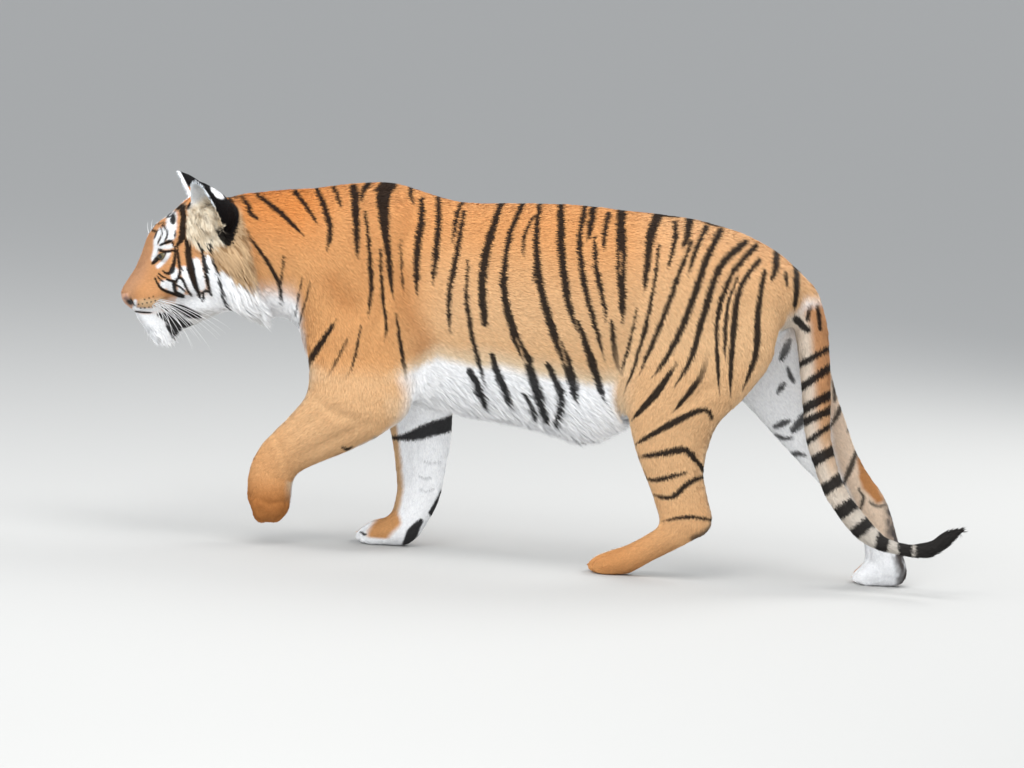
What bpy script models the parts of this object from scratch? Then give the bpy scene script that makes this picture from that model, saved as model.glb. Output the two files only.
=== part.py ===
"""A life-size walking tiger as a still museum model, left forepaw lifted, three feet on the floor.

The body is modelled whole from lofts and rounded masses, fused, thinned out and then parted
with thin cuts. Metres, +Z up, nose towards -X, left flank towards -Y, the floor at Z = 0.
"""
import math

import bpy
import numpy as np
from mathutils import Matrix, Vector

# ---- driving dimensions -------------------------------------------------------------
GAP = 0.0003              # space left between neighbouring pieces
VOXEL = 0.005             # grain at which the masses are fused
RING_POINTS = 28          # points round each loft section
RING_STEPS = 4            # sections made between two stations

WITHERS_HEIGHT = 0.844
LOIN_HEIGHT = 0.828
CHEST_HALF_WIDTH = 0.155
BELLY_HALF_WIDTH = 0.157
HIP_HALF_WIDTH = 0.146
NECK_HALF_WIDTH = 0.112

LEFT_FORE_SIDE = -0.118   # how far each leg stands from the middle of the body
RIGHT_FORE_SIDE = 0.055
LEFT_HIND_SIDE = -0.100
RIGHT_HIND_SIDE = 0.098

TRUNK_TRIANGLES = 4000    # coarse copy of the whole body
PAW_TRIANGLES = 5000      # middling copy, for paws
HEAD_TRIANGLES = 7600     # fine copy, only its head is kept

HEAD_CENTRE = Vector((-0.798, -0.030, 0.6467))
HEAD_TURN = math.radians(24.0)     # towards the left
HEAD_BOW = math.radians(27.0)      # muzzle down
EYE_RADIUS = 0.0178
EYE_PLACE = (0.1010, 0.0490, 0.0495)
EAR_PLACES = {"left": (-0.019, 0.078, 0.103), "right": (-0.030, -0.078, 0.100)}
EAR_LEANS = {"left": math.radians(12.0), "right": math.radians(7.0)}    # towards the brow
EAR_RADII = (0.084, 0.064, 0.089)
EAR_TURN = math.radians(14.0)      # mouth of the ear, from straight ahead towards its side
EAR_SPLAY = math.radians(8.0)      # lean away from the crown
EAR_TAPER = (0.60, 0.28)           # narrowing towards the tip, fore-and-aft and sideways
EAR_WALL = 0.010
EAR_RIM = 0.004                    # how far in front of the ear's middle its mouth opens

# ---- scene --------------------------------------------------------------------------
for old in list(bpy.data.objects):
    bpy.data.objects.remove(old, do_unlink=True)

tiger = bpy.data.collections.new("tiger")
bpy.context.scene.collection.children.link(tiger)
cutters = bpy.data.collections.new("tiger_cutters")
bpy.context.scene.collection.children.link(cutters)


def material(name, colour, roughness):
    """A plain dull or glossy surface, no metal anywhere on an animal."""
    made = bpy.data.materials.new(name)
    made.use_nodes = True
    shader = made.node_tree.nodes["Principled BSDF"]
    shader.inputs["Base Color"].default_value = (*colour, 1.0)
    shader.inputs["Roughness"].default_value = roughness
    shader.inputs["Metallic"].default_value = 0.0
    made.diffuse_color = (*colour, 1.0)
    return made


def keep(name, mesh, where):
    """Put a mesh into the scene as a named object."""
    made = bpy.data.objects.new(name, mesh)
    where.objects.link(made)
    return made


def drop(*things):
    for thing in things:
        bpy.data.objects.remove(thing, do_unlink=True)


def baked(thing):
    """The mesh of an object with its modifiers worked in."""
    bpy.context.view_layer.update()
    graph = bpy.context.evaluated_depsgraph_get()
    return bpy.data.meshes.new_from_object(thing.evaluated_get(graph))


def with_modifiers(thing, settings):
    """A new object: the old one after a row of modifiers."""
    for kind, values in settings:
        step = thing.modifiers.new(kind.lower(), kind)
        for key, value in values.items():
            setattr(step, key, value)
    mesh = baked(thing)
    thing.modifiers.clear()
    return keep(thing.name + "_worked", mesh, cutters)


def boolean(thing, tool, operation):
    """A new mesh: one solid cut by, met with or joined to another."""
    return with_modifiers(thing, [("BOOLEAN", {"operation": operation, "solver": "EXACT", "object": tool})])


# ---- lofts --------------------------------------------------------------------------
def section(upper, lower, side, half_width, level=0.5, pinch=1.0):
    """An oval between two points of the body's side view, (x, z) each.

    level is the height of the widest place, from 0 at the lower point to 1 at the upper one,
    and a pinch over 1 narrows the upper half.
    """
    high = Vector((upper[0], side, upper[1]))
    low = Vector((lower[0], side, lower[1]))
    centre = low.lerp(high, level)
    points = []
    for index in range(RING_POINTS):
        angle = 2.0 * math.pi * index / RING_POINTS
        along = math.cos(angle)
        across = math.sin(angle)
        reach = high - centre if along > 0.0 else low - centre
        width = math.copysign(abs(across) ** (pinch if along > 0.0 else 1.0), across) * half_width
        points.append(centre + reach * abs(along) + Vector((0.0, width, 0.0)))
    return np.array([tuple(point) for point in points])


def between(rings, steps):
    """More rings between the given ones, on a smooth curve through them."""
    rows = []
    last = len(rings) - 1
    for index in range(last):
        before = rings[max(index - 1, 0)]
        start = rings[index]
        end = rings[index + 1]
        after = rings[min(index + 2, last)]
        for step in range(steps):
            t = step / steps
            rows.append(0.5 * (2.0 * start + (end - before) * t
                               + (2.0 * before - 5.0 * start + 4.0 * end - after) * t ** 2
                               + (3.0 * start - before - 3.0 * end + after) * t ** 3))
    rows.append(rings[last])
    return rows


def loft(name, rings, frame=None):
    """A closed body through a row of rings, its ends capped."""
    rows = between(rings, RING_STEPS)
    count = RING_POINTS
    vertices = [Vector(point) for row in rows for point in row]
    if frame is not None:
        vertices = [frame @ vertex for vertex in vertices]
    faces = []
    for row in range(len(rows) - 1):
        for index in range(count):
            step = (index + 1) % count
            faces.append((row * count + index, row * count + step,
                          (row + 1) * count + step, (row + 1) * count + index))
    faces.append(tuple(reversed(range(count))))
    faces.append(tuple((len(rows) - 1) * count + index for index in range(count)))
    mesh = bpy.data.meshes.new(name)
    mesh.from_pydata(vertices, [], faces)
    mesh.update()
    return keep(name, mesh, cutters)


def spin(turn):
    """Turns about X, Y and Z, in that order."""
    return Matrix.Rotation(turn[2], 4, "Z") @ Matrix.Rotation(turn[1], 4, "Y") @ Matrix.Rotation(turn[0], 4, "X")


def block(name, centre, half, axes=None, grow=0.0):
    """A box cell; grow widens it by the gap on every face."""
    bpy.ops.mesh.primitive_cube_add(size=2.0)
    made = bpy.context.active_object
    made.name = name
    for home in list(made.users_collection):
        home.objects.unlink(made)
    cutters.objects.link(made)
    sizes = [value + grow for value in half]
    turn = Matrix.Identity(4) if axes is None else axes
    made.data.transform(Matrix.Translation(centre) @ turn @ Matrix.Diagonal((*sizes, 1.0)))
    return made


def rounded_mass(name, place, radii, frame=None, turn=(0.0, 0.0, 0.0), round_steps=32, taper=(0.0, 0.0)):
    """An egg-shaped mass, its radii along its own three axes; taper narrows its upper end in x and y."""
    bpy.ops.mesh.primitive_uv_sphere_add(segments=round_steps, ring_count=round_steps // 2 + 1, radius=1.0)
    made = bpy.context.active_object
    made.name = name
    for home in list(made.users_collection):
        home.objects.unlink(made)
    cutters.objects.link(made)
    for vertex in made.data.vertices:
        rise = 0.5 * (vertex.co.z + 1.0)
        vertex.co.x *= 1.0 - taper[0] * rise
        vertex.co.y *= 1.0 - taper[1] * rise
    shape = Matrix.Translation(place) @ spin(turn) @ Matrix.Diagonal((*radii, 1.0))
    made.data.transform(shape if frame is None else frame @ shape)
    return made


# ---- frame of the head: forward, left, up ---------------------------------------------
ahead = Vector((-math.cos(HEAD_TURN), -math.sin(HEAD_TURN), 0.0))
HEAD_LEFT = Vector((math.sin(HEAD_TURN), -math.cos(HEAD_TURN), 0.0))
HEAD_FORWARD = ahead * math.cos(HEAD_BOW) - Vector((0.0, 0.0, math.sin(HEAD_BOW)))
HEAD_UP = ahead * math.sin(HEAD_BOW) + Vector((0.0, 0.0, math.cos(HEAD_BOW)))
HEAD = Matrix.Translation(HEAD_CENTRE) @ Matrix((HEAD_FORWARD, HEAD_LEFT, HEAD_UP)).transposed().to_4x4()


def head_section(forward, top, bottom, half_width, level=0.5, pinch=1.0):
    """A section across the head; its ovals stand square to the forward axis."""
    return section((forward, top), (forward, bottom), 0.0, half_width, level, pinch)


def ear_turns(tag, lean):
    side = math.copysign(1.0, EAR_PLACES[tag][1])
    return (-side * EAR_SPLAY, lean, side * EAR_TURN)


def ear_shape(name, tag, extra):
    """The full form of an ear before it is hollowed, made larger all round by extra."""
    radii = [radius + extra for radius in EAR_RADII]
    return rounded_mass(name, EAR_PLACES[tag], radii, HEAD, ear_turns(tag, EAR_LEANS[tag]),
                        round_steps=20, taper=EAR_TAPER)


flesh = []      # lofts that keep their outline
muscles = []    # masses that only swell the flesh, blended wide
crisp = []      # small shapes blended little
skull = []      # the same as flesh, for the head
features = []   # masses that swell the head

# ---- trunk and neck -------------------------------------------------------------------
flesh.append(loft("trunk_mass", [
    section((-0.600, 0.740), (-0.592, 0.570), 0.0, 0.070),
    section((-0.580, 0.806), (-0.570, 0.480), 0.0, 0.112, 0.48),
    section((-0.520, 0.826), (-0.528, 0.385), 0.0, 0.142, 0.46),
    section((-0.440, WITHERS_HEIGHT - 0.003), (-0.440, 0.352), 0.0, CHEST_HALF_WIDTH - 0.004, 0.44, 1.15),
    section((-0.370, WITHERS_HEIGHT), (-0.370, 0.346), 0.0, CHEST_HALF_WIDTH, 0.43, 1.20),
    section((-0.230, 0.814), (-0.230, 0.330), 0.0, CHEST_HALF_WIDTH, 0.44, 1.05),
    section((-0.100, 0.821), (-0.100, 0.321), 0.0, BELLY_HALF_WIDTH, 0.44),
    section((0.010, LOIN_HEIGHT), (0.010, 0.305), 0.0, BELLY_HALF_WIDTH, 0.46),
    section((0.090, LOIN_HEIGHT), (0.090, 0.284), 0.0, 0.152, 0.52),
    section((0.160, 0.825), (0.160, 0.310), 0.0, 0.143, 0.55),
    section((0.250, 0.823), (0.240, 0.375), 0.0, 0.146, 0.55),
    section((0.330, 0.816), (0.320, 0.440), 0.0, HIP_HALF_WIDTH, 0.52, 1.1),
    section((0.420, 0.797), (0.420, 0.500), 0.0, HIP_HALF_WIDTH - 0.006, 0.48, 1.15),
    section((0.500, 0.764), (0.500, 0.545), 0.0, 0.122, 0.48, 1.1),
    section((0.560, 0.722), (0.550, 0.590), 0.0, 0.080, 0.50),
    section((0.590, 0.690), (0.575, 0.625), 0.0, 0.040, 0.50),
]))
flesh.append(loft("neck_mass", [
    section((-0.520, 0.818), (-0.520, 0.480), 0.0, 0.120, 0.46),
    section((-0.600, 0.812), (-0.604, 0.508), 0.0, NECK_HALF_WIDTH + 0.008, 0.44),
    section((-0.670, 0.801), (-0.665, 0.508), -0.008, NECK_HALF_WIDTH, 0.45),
    section((-0.730, 0.789), (-0.715, 0.518), -0.020, NECK_HALF_WIDTH - 0.006, 0.48),
    section((-0.785, 0.768), (-0.770, 0.540), -0.032, 0.088, 0.50),
]))
for side in (-1.0, 1.0):
    tag = "left" if side < 0.0 else "right"
    # shoulder blade, upper arm, ribs behind the elbow and the great muscle of the haunch
    muscles.append(rounded_mass(f"shoulder_{tag}", (-0.415, side * 0.086, 0.640), (0.110, 0.072, 0.180),
                               turn=(0.0, math.radians(12.0), 0.0)))
    muscles.append(rounded_mass(f"upper_arm_{tag}", (-0.428, side * 0.100, 0.480), (0.118, 0.066, 0.135)))
    muscles.append(rounded_mass(f"haunch_{tag}", (0.330, side * 0.085, 0.600), (0.180, 0.070, 0.190),
                               turn=(0.0, math.radians(-14.0), 0.0)))


# ---- legs -----------------------------------------------------------------------------
def toes(name, ball, side, spread, reach, drop_by=0.0, length=0.031, height=0.021):
    """Four toes side by side, the middle two the longest, pointing along reach."""
    heading = Vector(reach).normalized()
    lean = math.atan2(heading.z, -heading.x)
    for index in range(4):
        offset = (index - 1.5) / 1.5
        back = 0.013 * offset ** 2
        place = Vector((ball[0], side + offset * spread, ball[1] - drop_by)) - heading * back
        crisp.append(rounded_mass(f"{name}_toe_{index + 1}", place, (length, 0.0155, height),
                                   turn=(0.0, lean, math.radians(-7.0 * offset))))


y = LEFT_FORE_SIDE
flesh.append(loft("left_foreleg_mass", [
    section((-0.545, 0.470), (-0.300, 0.460), y + 0.010, 0.052),
    section((-0.532, 0.365), (-0.285, 0.342), y + 0.002, 0.062),
    section((-0.562, 0.310), (-0.345, 0.277), y, 0.060),
    section((-0.600, 0.264), (-0.425, 0.226), y, 0.052),
    section((-0.631, 0.227), (-0.495, 0.192), y, 0.046),
    section((-0.651, 0.180), (-0.541, 0.162), y, 0.044),
    section((-0.656, 0.140), (-0.546, 0.130), y, 0.046),
    section((-0.650, 0.100), (-0.548, 0.098), y, 0.049),
    section((-0.632, 0.070), (-0.555, 0.074), y, 0.047),
    section((-0.606, 0.058), (-0.572, 0.062), y, 0.026),
]))
toes("left_forepaw", (-0.612, 0.080), y, 0.036, (-0.10, 0.0, -1.0), length=0.036, height=0.026)
crisp.append(rounded_mass("left_forepaw_pad", (-0.585, y, 0.074), (0.024, 0.038, 0.025)))

y = RIGHT_FORE_SIDE
flesh.append(loft("right_foreleg_mass", [
    section((-0.480, 0.480), (-0.270, 0.480), y + 0.045, 0.060),
    section((-0.425, 0.370), (-0.215, 0.375), y + 0.028, 0.062),
    section((-0.368, 0.300), (-0.207, 0.305), y + 0.014, 0.054),
    section((-0.349, 0.245), (-0.205, 0.240), y + 0.006, 0.047),
    section((-0.335, 0.185), (-0.212, 0.185), y, 0.042),
    section((-0.327, 0.130), (-0.217, 0.130), y, 0.041),
    section((-0.330, 0.094), (-0.236, 0.074), y, 0.043),
    section((-0.338, 0.066), (-0.275, 0.010), y, 0.046),
    section((-0.368, 0.056), (-0.340, -0.007), y, 0.049),
    section((-0.398, 0.038), (-0.390, 0.000), y, 0.030),
]))
toes("right_forepaw", (-0.383, 0.0175), y, 0.036, (-1.0, 0.0, -0.14))

y = LEFT_HIND_SIDE
flesh.append(loft("left_thigh_mass", [
    section((0.200, 0.640), (0.520, 0.660), y + 0.012, 0.050),
    section((0.174, 0.540), (0.533, 0.590), y + 0.004, 0.056),
    section((0.180, 0.455), (0.520, 0.505), y, 0.056),
    section((0.191, 0.405), (0.462, 0.418), y, 0.056),
    section((0.203, 0.350), (0.416, 0.366), y, 0.054),
    section((0.222, 0.290), (0.396, 0.310), y, 0.048),
    section((0.246, 0.236), (0.393, 0.250), y, 0.042),
    section((0.270, 0.185), (0.402, 0.195), y, 0.036),
    section((0.286, 0.145), (0.419, 0.152), y, 0.034),
    section((0.300, 0.115), (0.412, 0.112), y, 0.031),
    section((0.325, 0.098), (0.388, 0.098), y, 0.022),
]))
flesh.append(loft("left_hindfoot_mass", [
    section((0.352, 0.160), (0.400, 0.104), y, 0.030),
    section((0.300, 0.122), (0.345, 0.068), y, 0.033),
    section((0.256, 0.090), (0.290, 0.036), y, 0.036),
    section((0.222, 0.068), (0.248, 0.008), y, 0.041),
    section((0.192, 0.055), (0.205, -0.007), y, 0.046),
    section((0.160, 0.040), (0.160, -0.006), y, 0.036),
]))
toes("left_hindpaw", (0.166, 0.0175), y, 0.034, (-1.0, 0.0, -0.14), length=0.029)

y = RIGHT_HIND_SIDE
flesh.append(loft("right_thigh_mass", [
    section((0.240, 0.640), (0.530, 0.680), y - 0.012, 0.050),
    section((0.300, 0.530), (0.615, 0.610), y - 0.004, 0.056),
    section((0.375, 0.455), (0.648, 0.515), y, 0.056),
    section((0.455, 0.395), (0.672, 0.440), y, 0.053),
    section((0.520, 0.335), (0.702, 0.370), y, 0.047),
    section((0.590, 0.270), (0.733, 0.300), y, 0.040),
    section((0.655, 0.213), (0.775, 0.243), y, 0.034),
    section((0.710, 0.176), (0.806, 0.204), y, 0.031),
    section((0.742, 0.140), (0.830, 0.151), y, 0.030),
    section((0.758, 0.100), (0.844, 0.107), y, 0.032),
    section((0.766, 0.066), (0.864, 0.062), y, 0.038),
    section((0.772, 0.042), (0.872, 0.022), y, 0.040),
    section((0.790, 0.020), (0.850, 0.000), y, 0.024),
]))
flesh.append(loft("right_hindfoot_mass", [
    section((0.832, 0.066), (0.866, 0.004), y, 0.030),
    section((0.792, 0.064), (0.812, -0.007), y, 0.042),
    section((0.758, 0.042), (0.760, -0.006), y, 0.036),
]))
toes("right_hindpaw", (0.768, 0.0175), y, 0.034, (-1.0, 0.0, -0.14), length=0.029)

# ---- tail -----------------------------------------------------------------------------
crisp.append(loft("tail_mass", [
    section((0.530, 0.726), (0.500, 0.640), 0.0, 0.055),
    section((0.600, 0.690), (0.545, 0.615), 0.0, 0.045),
    section((0.636, 0.612), (0.562, 0.576), -0.006, 0.040),
    section((0.651, 0.530), (0.577, 0.514), -0.013, 0.036),
    section((0.661, 0.445), (0.591, 0.432), -0.020, 0.034),
    section((0.669, 0.350), (0.608, 0.335), -0.025, 0.031),
    section((0.692, 0.274), (0.639, 0.259), -0.028, 0.028),
    section((0.717, 0.227), (0.664, 0.207), -0.029, 0.027),
    section((0.748, 0.190), (0.703, 0.158), -0.030, 0.026),
    section((0.780, 0.158), (0.744, 0.118), -0.030, 0.024),
    section((0.810, 0.132), (0.790, 0.096), -0.030, 0.022),
    section((0.845, 0.121), (0.838, 0.087), -0.030, 0.020),
    section((0.880, 0.121), (0.884, 0.082), -0.030, 0.020),
    section((0.911, 0.130), (0.925, 0.090), -0.030, 0.021),
    section((0.944, 0.157), (0.964, 0.122), -0.030, 0.018),
    section((0.979, 0.170), (0.991, 0.156), -0.030, 0.006),
]))

# ---- head -----------------------------------------------------------------------------
skull.append(loft("skull_mass", [
    head_section(0.2225, -0.003, -0.027, 0.012),
    head_section(0.214, 0.005, -0.043, 0.022),
    head_section(0.205, 0.011, -0.048, 0.030),
    head_section(0.188, 0.021, -0.055, 0.043, 0.42, 1.0),
    head_section(0.162, 0.038, -0.056, 0.048, 0.42, 1.05),
    head_section(0.135, 0.065, -0.058, 0.055, 0.40, 1.15),
    head_section(0.105, 0.095, -0.068, 0.070, 0.42, 1.1),
    head_section(0.070, 0.111, -0.092, 0.087, 0.45, 1.0),
    head_section(0.030, 0.122, -0.114, 0.096, 0.47),
    head_section(-0.015, 0.132, -0.122, 0.101, 0.47),
    head_section(-0.060, 0.122, -0.120, 0.098, 0.48),
    head_section(-0.100, 0.095, -0.100, 0.078, 0.48),
], HEAD))
skull.append(loft("jaw_mass", [
    head_section(0.205, -0.057, -0.075, 0.013),
    head_section(0.200, -0.052, -0.092, 0.024),
    head_section(0.190, -0.050, -0.128, 0.033),
    head_section(0.170, -0.050, -0.148, 0.038),
    head_section(0.130, -0.050, -0.142, 0.046),
    head_section(0.080, -0.040, -0.140, 0.062),
    head_section(0.020, -0.040, -0.136, 0.080),
    head_section(-0.040, -0.040, -0.140, 0.080),
], HEAD))
for side in (-1.0, 1.0):
    # left is +1 in the head's frame
    tag = "left" if side > 0.0 else "right"
    features.append(rounded_mass(f"whisker_pad_{tag}", (0.171, side * 0.030, -0.026), (0.038, 0.029, 0.031), HEAD))
    features.append(rounded_mass(f"brow_{tag}", (0.072, side * 0.042, 0.076), (0.040, 0.030, 0.026), HEAD,
                                 turn=(0.0, math.radians(25.0), 0.0)))
    features.append(rounded_mass(f"cheek_{tag}", (0.060, side * 0.056, -0.012), (0.070, 0.042, 0.056), HEAD))
    features.append(rounded_mass(f"ruff_{tag}", (-0.020, side * 0.076, -0.045), (0.070, 0.052, 0.098), HEAD,
                               turn=(0.0, math.radians(14.0), 0.0)))
    features.append(rounded_mass(f"ruff_end_{tag}", (-0.060, side * 0.070, -0.095), (0.072, 0.042, 0.058), HEAD))
    features.append(rounded_mass(f"ear_root_{tag}", (-0.030, side * 0.068, 0.076), (0.048, 0.036, 0.036), HEAD))
    # an ear is a shell round a hollow, cut off in front at its mouth
    full = ear_shape(f"ear_full_{tag}", tag, 0.0)
    hollow = ear_shape(f"ear_hollow_{tag}", tag, -EAR_WALL)
    shell = boolean(full, hollow, "DIFFERENCE")
    ear_axes = HEAD.to_3x3().to_4x4() @ spin(ear_turns(tag, 0.0))
    mouth = HEAD @ Vector(EAR_PLACES[tag]) + ear_axes.to_3x3() @ Vector((EAR_RIM + 0.1, 0.0, 0.0))
    front = block(f"ear_mouth_{tag}", mouth, (0.1, 0.12, 0.12), ear_axes)
    crisp.append(boolean(shell, front, "DIFFERENCE"))
    drop(full, hollow, shell, front)

# ---- fuse the masses, stand them on the floor, thin them out ------------------------------
def blended(name, things, voxel, rounds):
    """One closed body out of many that overlap, its creases smoothed over."""
    with bpy.context.temp_override(active_object=things[0], selected_editable_objects=things):
        bpy.ops.object.join()
    made = with_modifiers(things[0], [
        ("REMESH", {"mode": "VOXEL", "voxel_size": voxel}),
        ("SMOOTH", {"factor": 0.5, "iterations": rounds}),
    ])
    drop(things[0])
    made.name = name
    return made


def copies(things):
    return [keep(thing.name + "_copy", thing.data.copy(), cutters) for thing in things]


soft_body = blended("soft_body", copies(flesh) + muscles, 1.6 * VOXEL, 60)
soft_head = blended("soft_head", copies(skull) + features, VOXEL, 9)
fused = blended("fused", flesh + skull + crisp + [soft_body, soft_head], VOXEL, 5)


floor_block = block("floor_cut", (0.0, 0.0, -0.5), (2.0, 1.0, 0.5))


def thinned(target):
    """A copy of the fused body with about that many triangles, its soles cut level."""
    faces = sum(len(polygon.vertices) - 2 for polygon in fused.data.polygons)
    light = with_modifiers(fused, [("DECIMATE", {"ratio": target / faces, "use_collapse_triangulate": True})])
    cut = boolean(light, floor_block, "DIFFERENCE")
    drop(light)
    return cut


fine = thinned(HEAD_TRIANGLES)
middling = thinned(PAW_TRIANGLES)
coarse = thinned(TRUNK_TRIANGLES)


# ---- part the body with thin cuts --------------------------------------------------------
def tilt(degrees):
    """Axes of a cell turned about the side-to-side axis."""
    return Matrix.Rotation(math.radians(degrees), 4, "Y")


HEAD_AXES = Matrix((HEAD_FORWARD, HEAD_LEFT, HEAD_UP)).transposed().to_4x4()
REACH = 0.30


def head_cell(grow):
    """All in front of a plane behind the ears and the ruff."""
    turn = Matrix.Rotation(0.5 * HEAD_TURN, 4, "Z") @ tilt(-16.0)
    face = Vector((-0.700, -0.014, 0.660))
    centre = face - turn @ Vector((REACH, 0.0, 0.0))
    return block("head_cell", centre, (REACH, 0.26, 0.34), turn.to_4x4(), grow)


def ear_cell(tag, grow):
    """An ear with its root, which sits in the head like a plug."""
    return ear_shape("ear_cell", tag, 0.006 + 2.0 * grow)


def nose_cell(grow):
    """The leather of the nose: an oval patch at the tip of the muzzle."""
    radii = (0.020 + grow, 0.027 + grow, 0.024 + grow)
    return rounded_mass("nose_cell", (0.214, 0.0, -0.018), radii, HEAD, (0.0, math.radians(-15.0), 0.0), round_steps=16)


def jaw_cell(grow):
    centre = HEAD @ Vector((0.140, 0.0, -0.122))
    return block("jaw_cell", centre, (0.080, 0.090, 0.0645), HEAD_AXES, grow)


def neck_cell(grow):
    centre = Vector((-0.600 - REACH, 0.0, 0.640))
    turn = tilt(-8.0)
    return block("neck_cell", centre, (REACH, 0.26, 0.36), turn, grow)


def cell(centre, half, turn=0.0):
    """A cell of the body that can be made plain or grown by the gap."""
    return lambda grow: block("cell", Vector(centre), half, tilt(turn), grow)


def part_off(body, make, source=None):
    """The piece of the body inside a cell, and the body without it."""
    plain = make(0.0)
    grown = make(GAP)
    piece = boolean(body if source is None else source, plain, "INTERSECT")
    rest = boolean(body, grown, "DIFFERENCE")
    drop(body, plain, grown)
    return piece, rest


pieces = {}
whole_head, unused = part_off(fine, head_cell)
drop(unused)
plain = head_cell(GAP)
body = boolean(coarse, plain, "DIFFERENCE")
drop(coarse, plain)

for tag in ("left", "right"):
    pieces[f"ear_{tag}"], whole_head = part_off(whole_head, lambda grow, t=tag: ear_cell(t, grow))
pieces["nose"], whole_head = part_off(whole_head, nose_cell)
pieces["lower_jaw"], whole_head = part_off(whole_head, jaw_cell)
for side, tag in ((1.0, "left"), (-1.0, "right")):
    place = HEAD @ Vector((EYE_PLACE[0], side * EYE_PLACE[1], EYE_PLACE[2]))
    ball = rounded_mass(f"eye_ball_{tag}", place, (EYE_RADIUS,) * 3, round_steps=14)
    ball.data.materials.clear()
    socket = rounded_mass(f"eye_socket_{tag}", place, (EYE_RADIUS + 2.0 * GAP,) * 3, round_steps=14)
    whole_head_cut = boolean(whole_head, socket, "DIFFERENCE")
    drop(whole_head, socket)
    whole_head = whole_head_cut
    pieces[f"eye_{tag}"] = ball
pieces["head"] = whole_head
pieces["neck"], body = part_off(body, neck_cell)

CELLS = {
    "foreleg_left": ((-0.525, -0.17, 0.10), (0.238, 0.140, 0.255), 4.0),
    "foreleg_right": ((-0.30, 0.14, 0.05), (0.155, 0.165, 0.255), 0.0),
    "hindleg_left": ((0.3206, -0.16, 0.0984), (0.26, 0.145, 0.22), -24.6),
    "hindleg_right": ((0.72, 0.15, 0.13), (0.24, 0.1115, 0.60), 52.0),
    "tail_tip": ((0.96, -0.03, 0.10), (0.125, 0.05, 0.10), 0.0),
    "tail_middle": ((0.75, -0.025, 0.15), (0.20, 0.045, 0.230), 0.0),
    "tail_base": ((0.70, -0.015, 0.45), (0.105, 0.055, 0.25), -12.0),
}
PAWS = {
    "forepaw_left": ("foreleg_left", (-0.60, -0.12, 0.03), (0.10, 0.10, 0.085), 0.0),
    "forepaw_right": ("foreleg_right", (-0.33, 0.06, 0.01), (0.13, 0.10, 0.075), 0.0),
    "hindpaw_left": ("hindleg_left", (0.18, -0.10, 0.0), (0.085, 0.10, 0.11), 12.0),
    "hindpaw_right": ("hindleg_right", (0.79, 0.12, 0.0), (0.10, 0.08, 0.072), 0.0),
}
for name, (centre, half, turn) in CELLS.items():
    pieces[name], body = part_off(body, cell(centre, half, turn))
pieces["trunk"] = body
for name, (leg, centre, half, turn) in PAWS.items():
    make = cell(centre, half, turn)
    plain = make(0.0)
    pieces[name] = boolean(middling, plain, "INTERSECT")
    grown = make(GAP)
    upper = boolean(pieces[leg], grown, "DIFFERENCE")
    drop(pieces[leg], plain, grown)
    pieces[leg] = upper
drop(fused, middling, floor_block)

# ---- centre the model over the origin and colour the pieces ---------------------------------
corners = np.array([tuple(vertex.co) for piece in pieces.values() for vertex in piece.data.vertices])
low = corners.min(axis=0)
high = corners.max(axis=0)
shift = Matrix.Translation((-0.5 * (low[0] + high[0]), -0.5 * (low[1] + high[1]), -low[2]))

coat = material("orange_coat", (0.60, 0.30, 0.11), 0.85)
pale = material("pale_coat", (0.74, 0.66, 0.54), 0.85)
dark = material("black_coat", (0.03, 0.027, 0.03), 0.80)
leather = material("nose_leather", (0.52, 0.33, 0.28), 0.45)
eyeball = material("wet_eye", (0.45, 0.47, 0.36), 0.10)
COLOURS = {"lower_jaw": pale, "nose": leather, "eye_left": eyeball, "eye_right": eyeball,
           "ear_left": dark, "ear_right": dark, "tail_tip": dark}

for name, piece in pieces.items():
    mesh = piece.data
    mesh.transform(shift)
    mesh.materials.clear()
    mesh.materials.append(COLOURS.get(name, coat))
    for polygon in mesh.polygons:
        polygon.material_index = 0
    piece.name = name
    mesh.name = name
    for home in list(piece.users_collection):
        home.objects.unlink(piece)
    tiger.objects.link(piece)
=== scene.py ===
"""Looks of the walking tiger: skin, coat in tufts, eyes, whiskers, floor, light and camera."""
import math

import bmesh
import bpy
import numpy as np
from mathutils import Matrix, Vector


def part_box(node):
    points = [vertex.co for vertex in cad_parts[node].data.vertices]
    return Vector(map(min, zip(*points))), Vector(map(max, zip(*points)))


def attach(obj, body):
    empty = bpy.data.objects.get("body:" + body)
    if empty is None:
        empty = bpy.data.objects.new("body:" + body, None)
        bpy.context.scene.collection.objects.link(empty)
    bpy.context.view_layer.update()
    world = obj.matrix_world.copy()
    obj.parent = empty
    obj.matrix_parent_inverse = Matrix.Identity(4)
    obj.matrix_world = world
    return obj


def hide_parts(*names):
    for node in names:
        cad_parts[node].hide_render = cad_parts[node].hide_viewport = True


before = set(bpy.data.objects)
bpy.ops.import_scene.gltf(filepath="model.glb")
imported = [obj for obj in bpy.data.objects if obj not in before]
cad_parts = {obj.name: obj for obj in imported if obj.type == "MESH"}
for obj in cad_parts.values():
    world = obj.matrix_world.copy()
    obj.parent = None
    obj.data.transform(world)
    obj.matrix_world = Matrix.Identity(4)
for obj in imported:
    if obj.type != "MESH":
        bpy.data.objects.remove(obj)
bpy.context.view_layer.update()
rng = np.random.default_rng(7)

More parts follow.
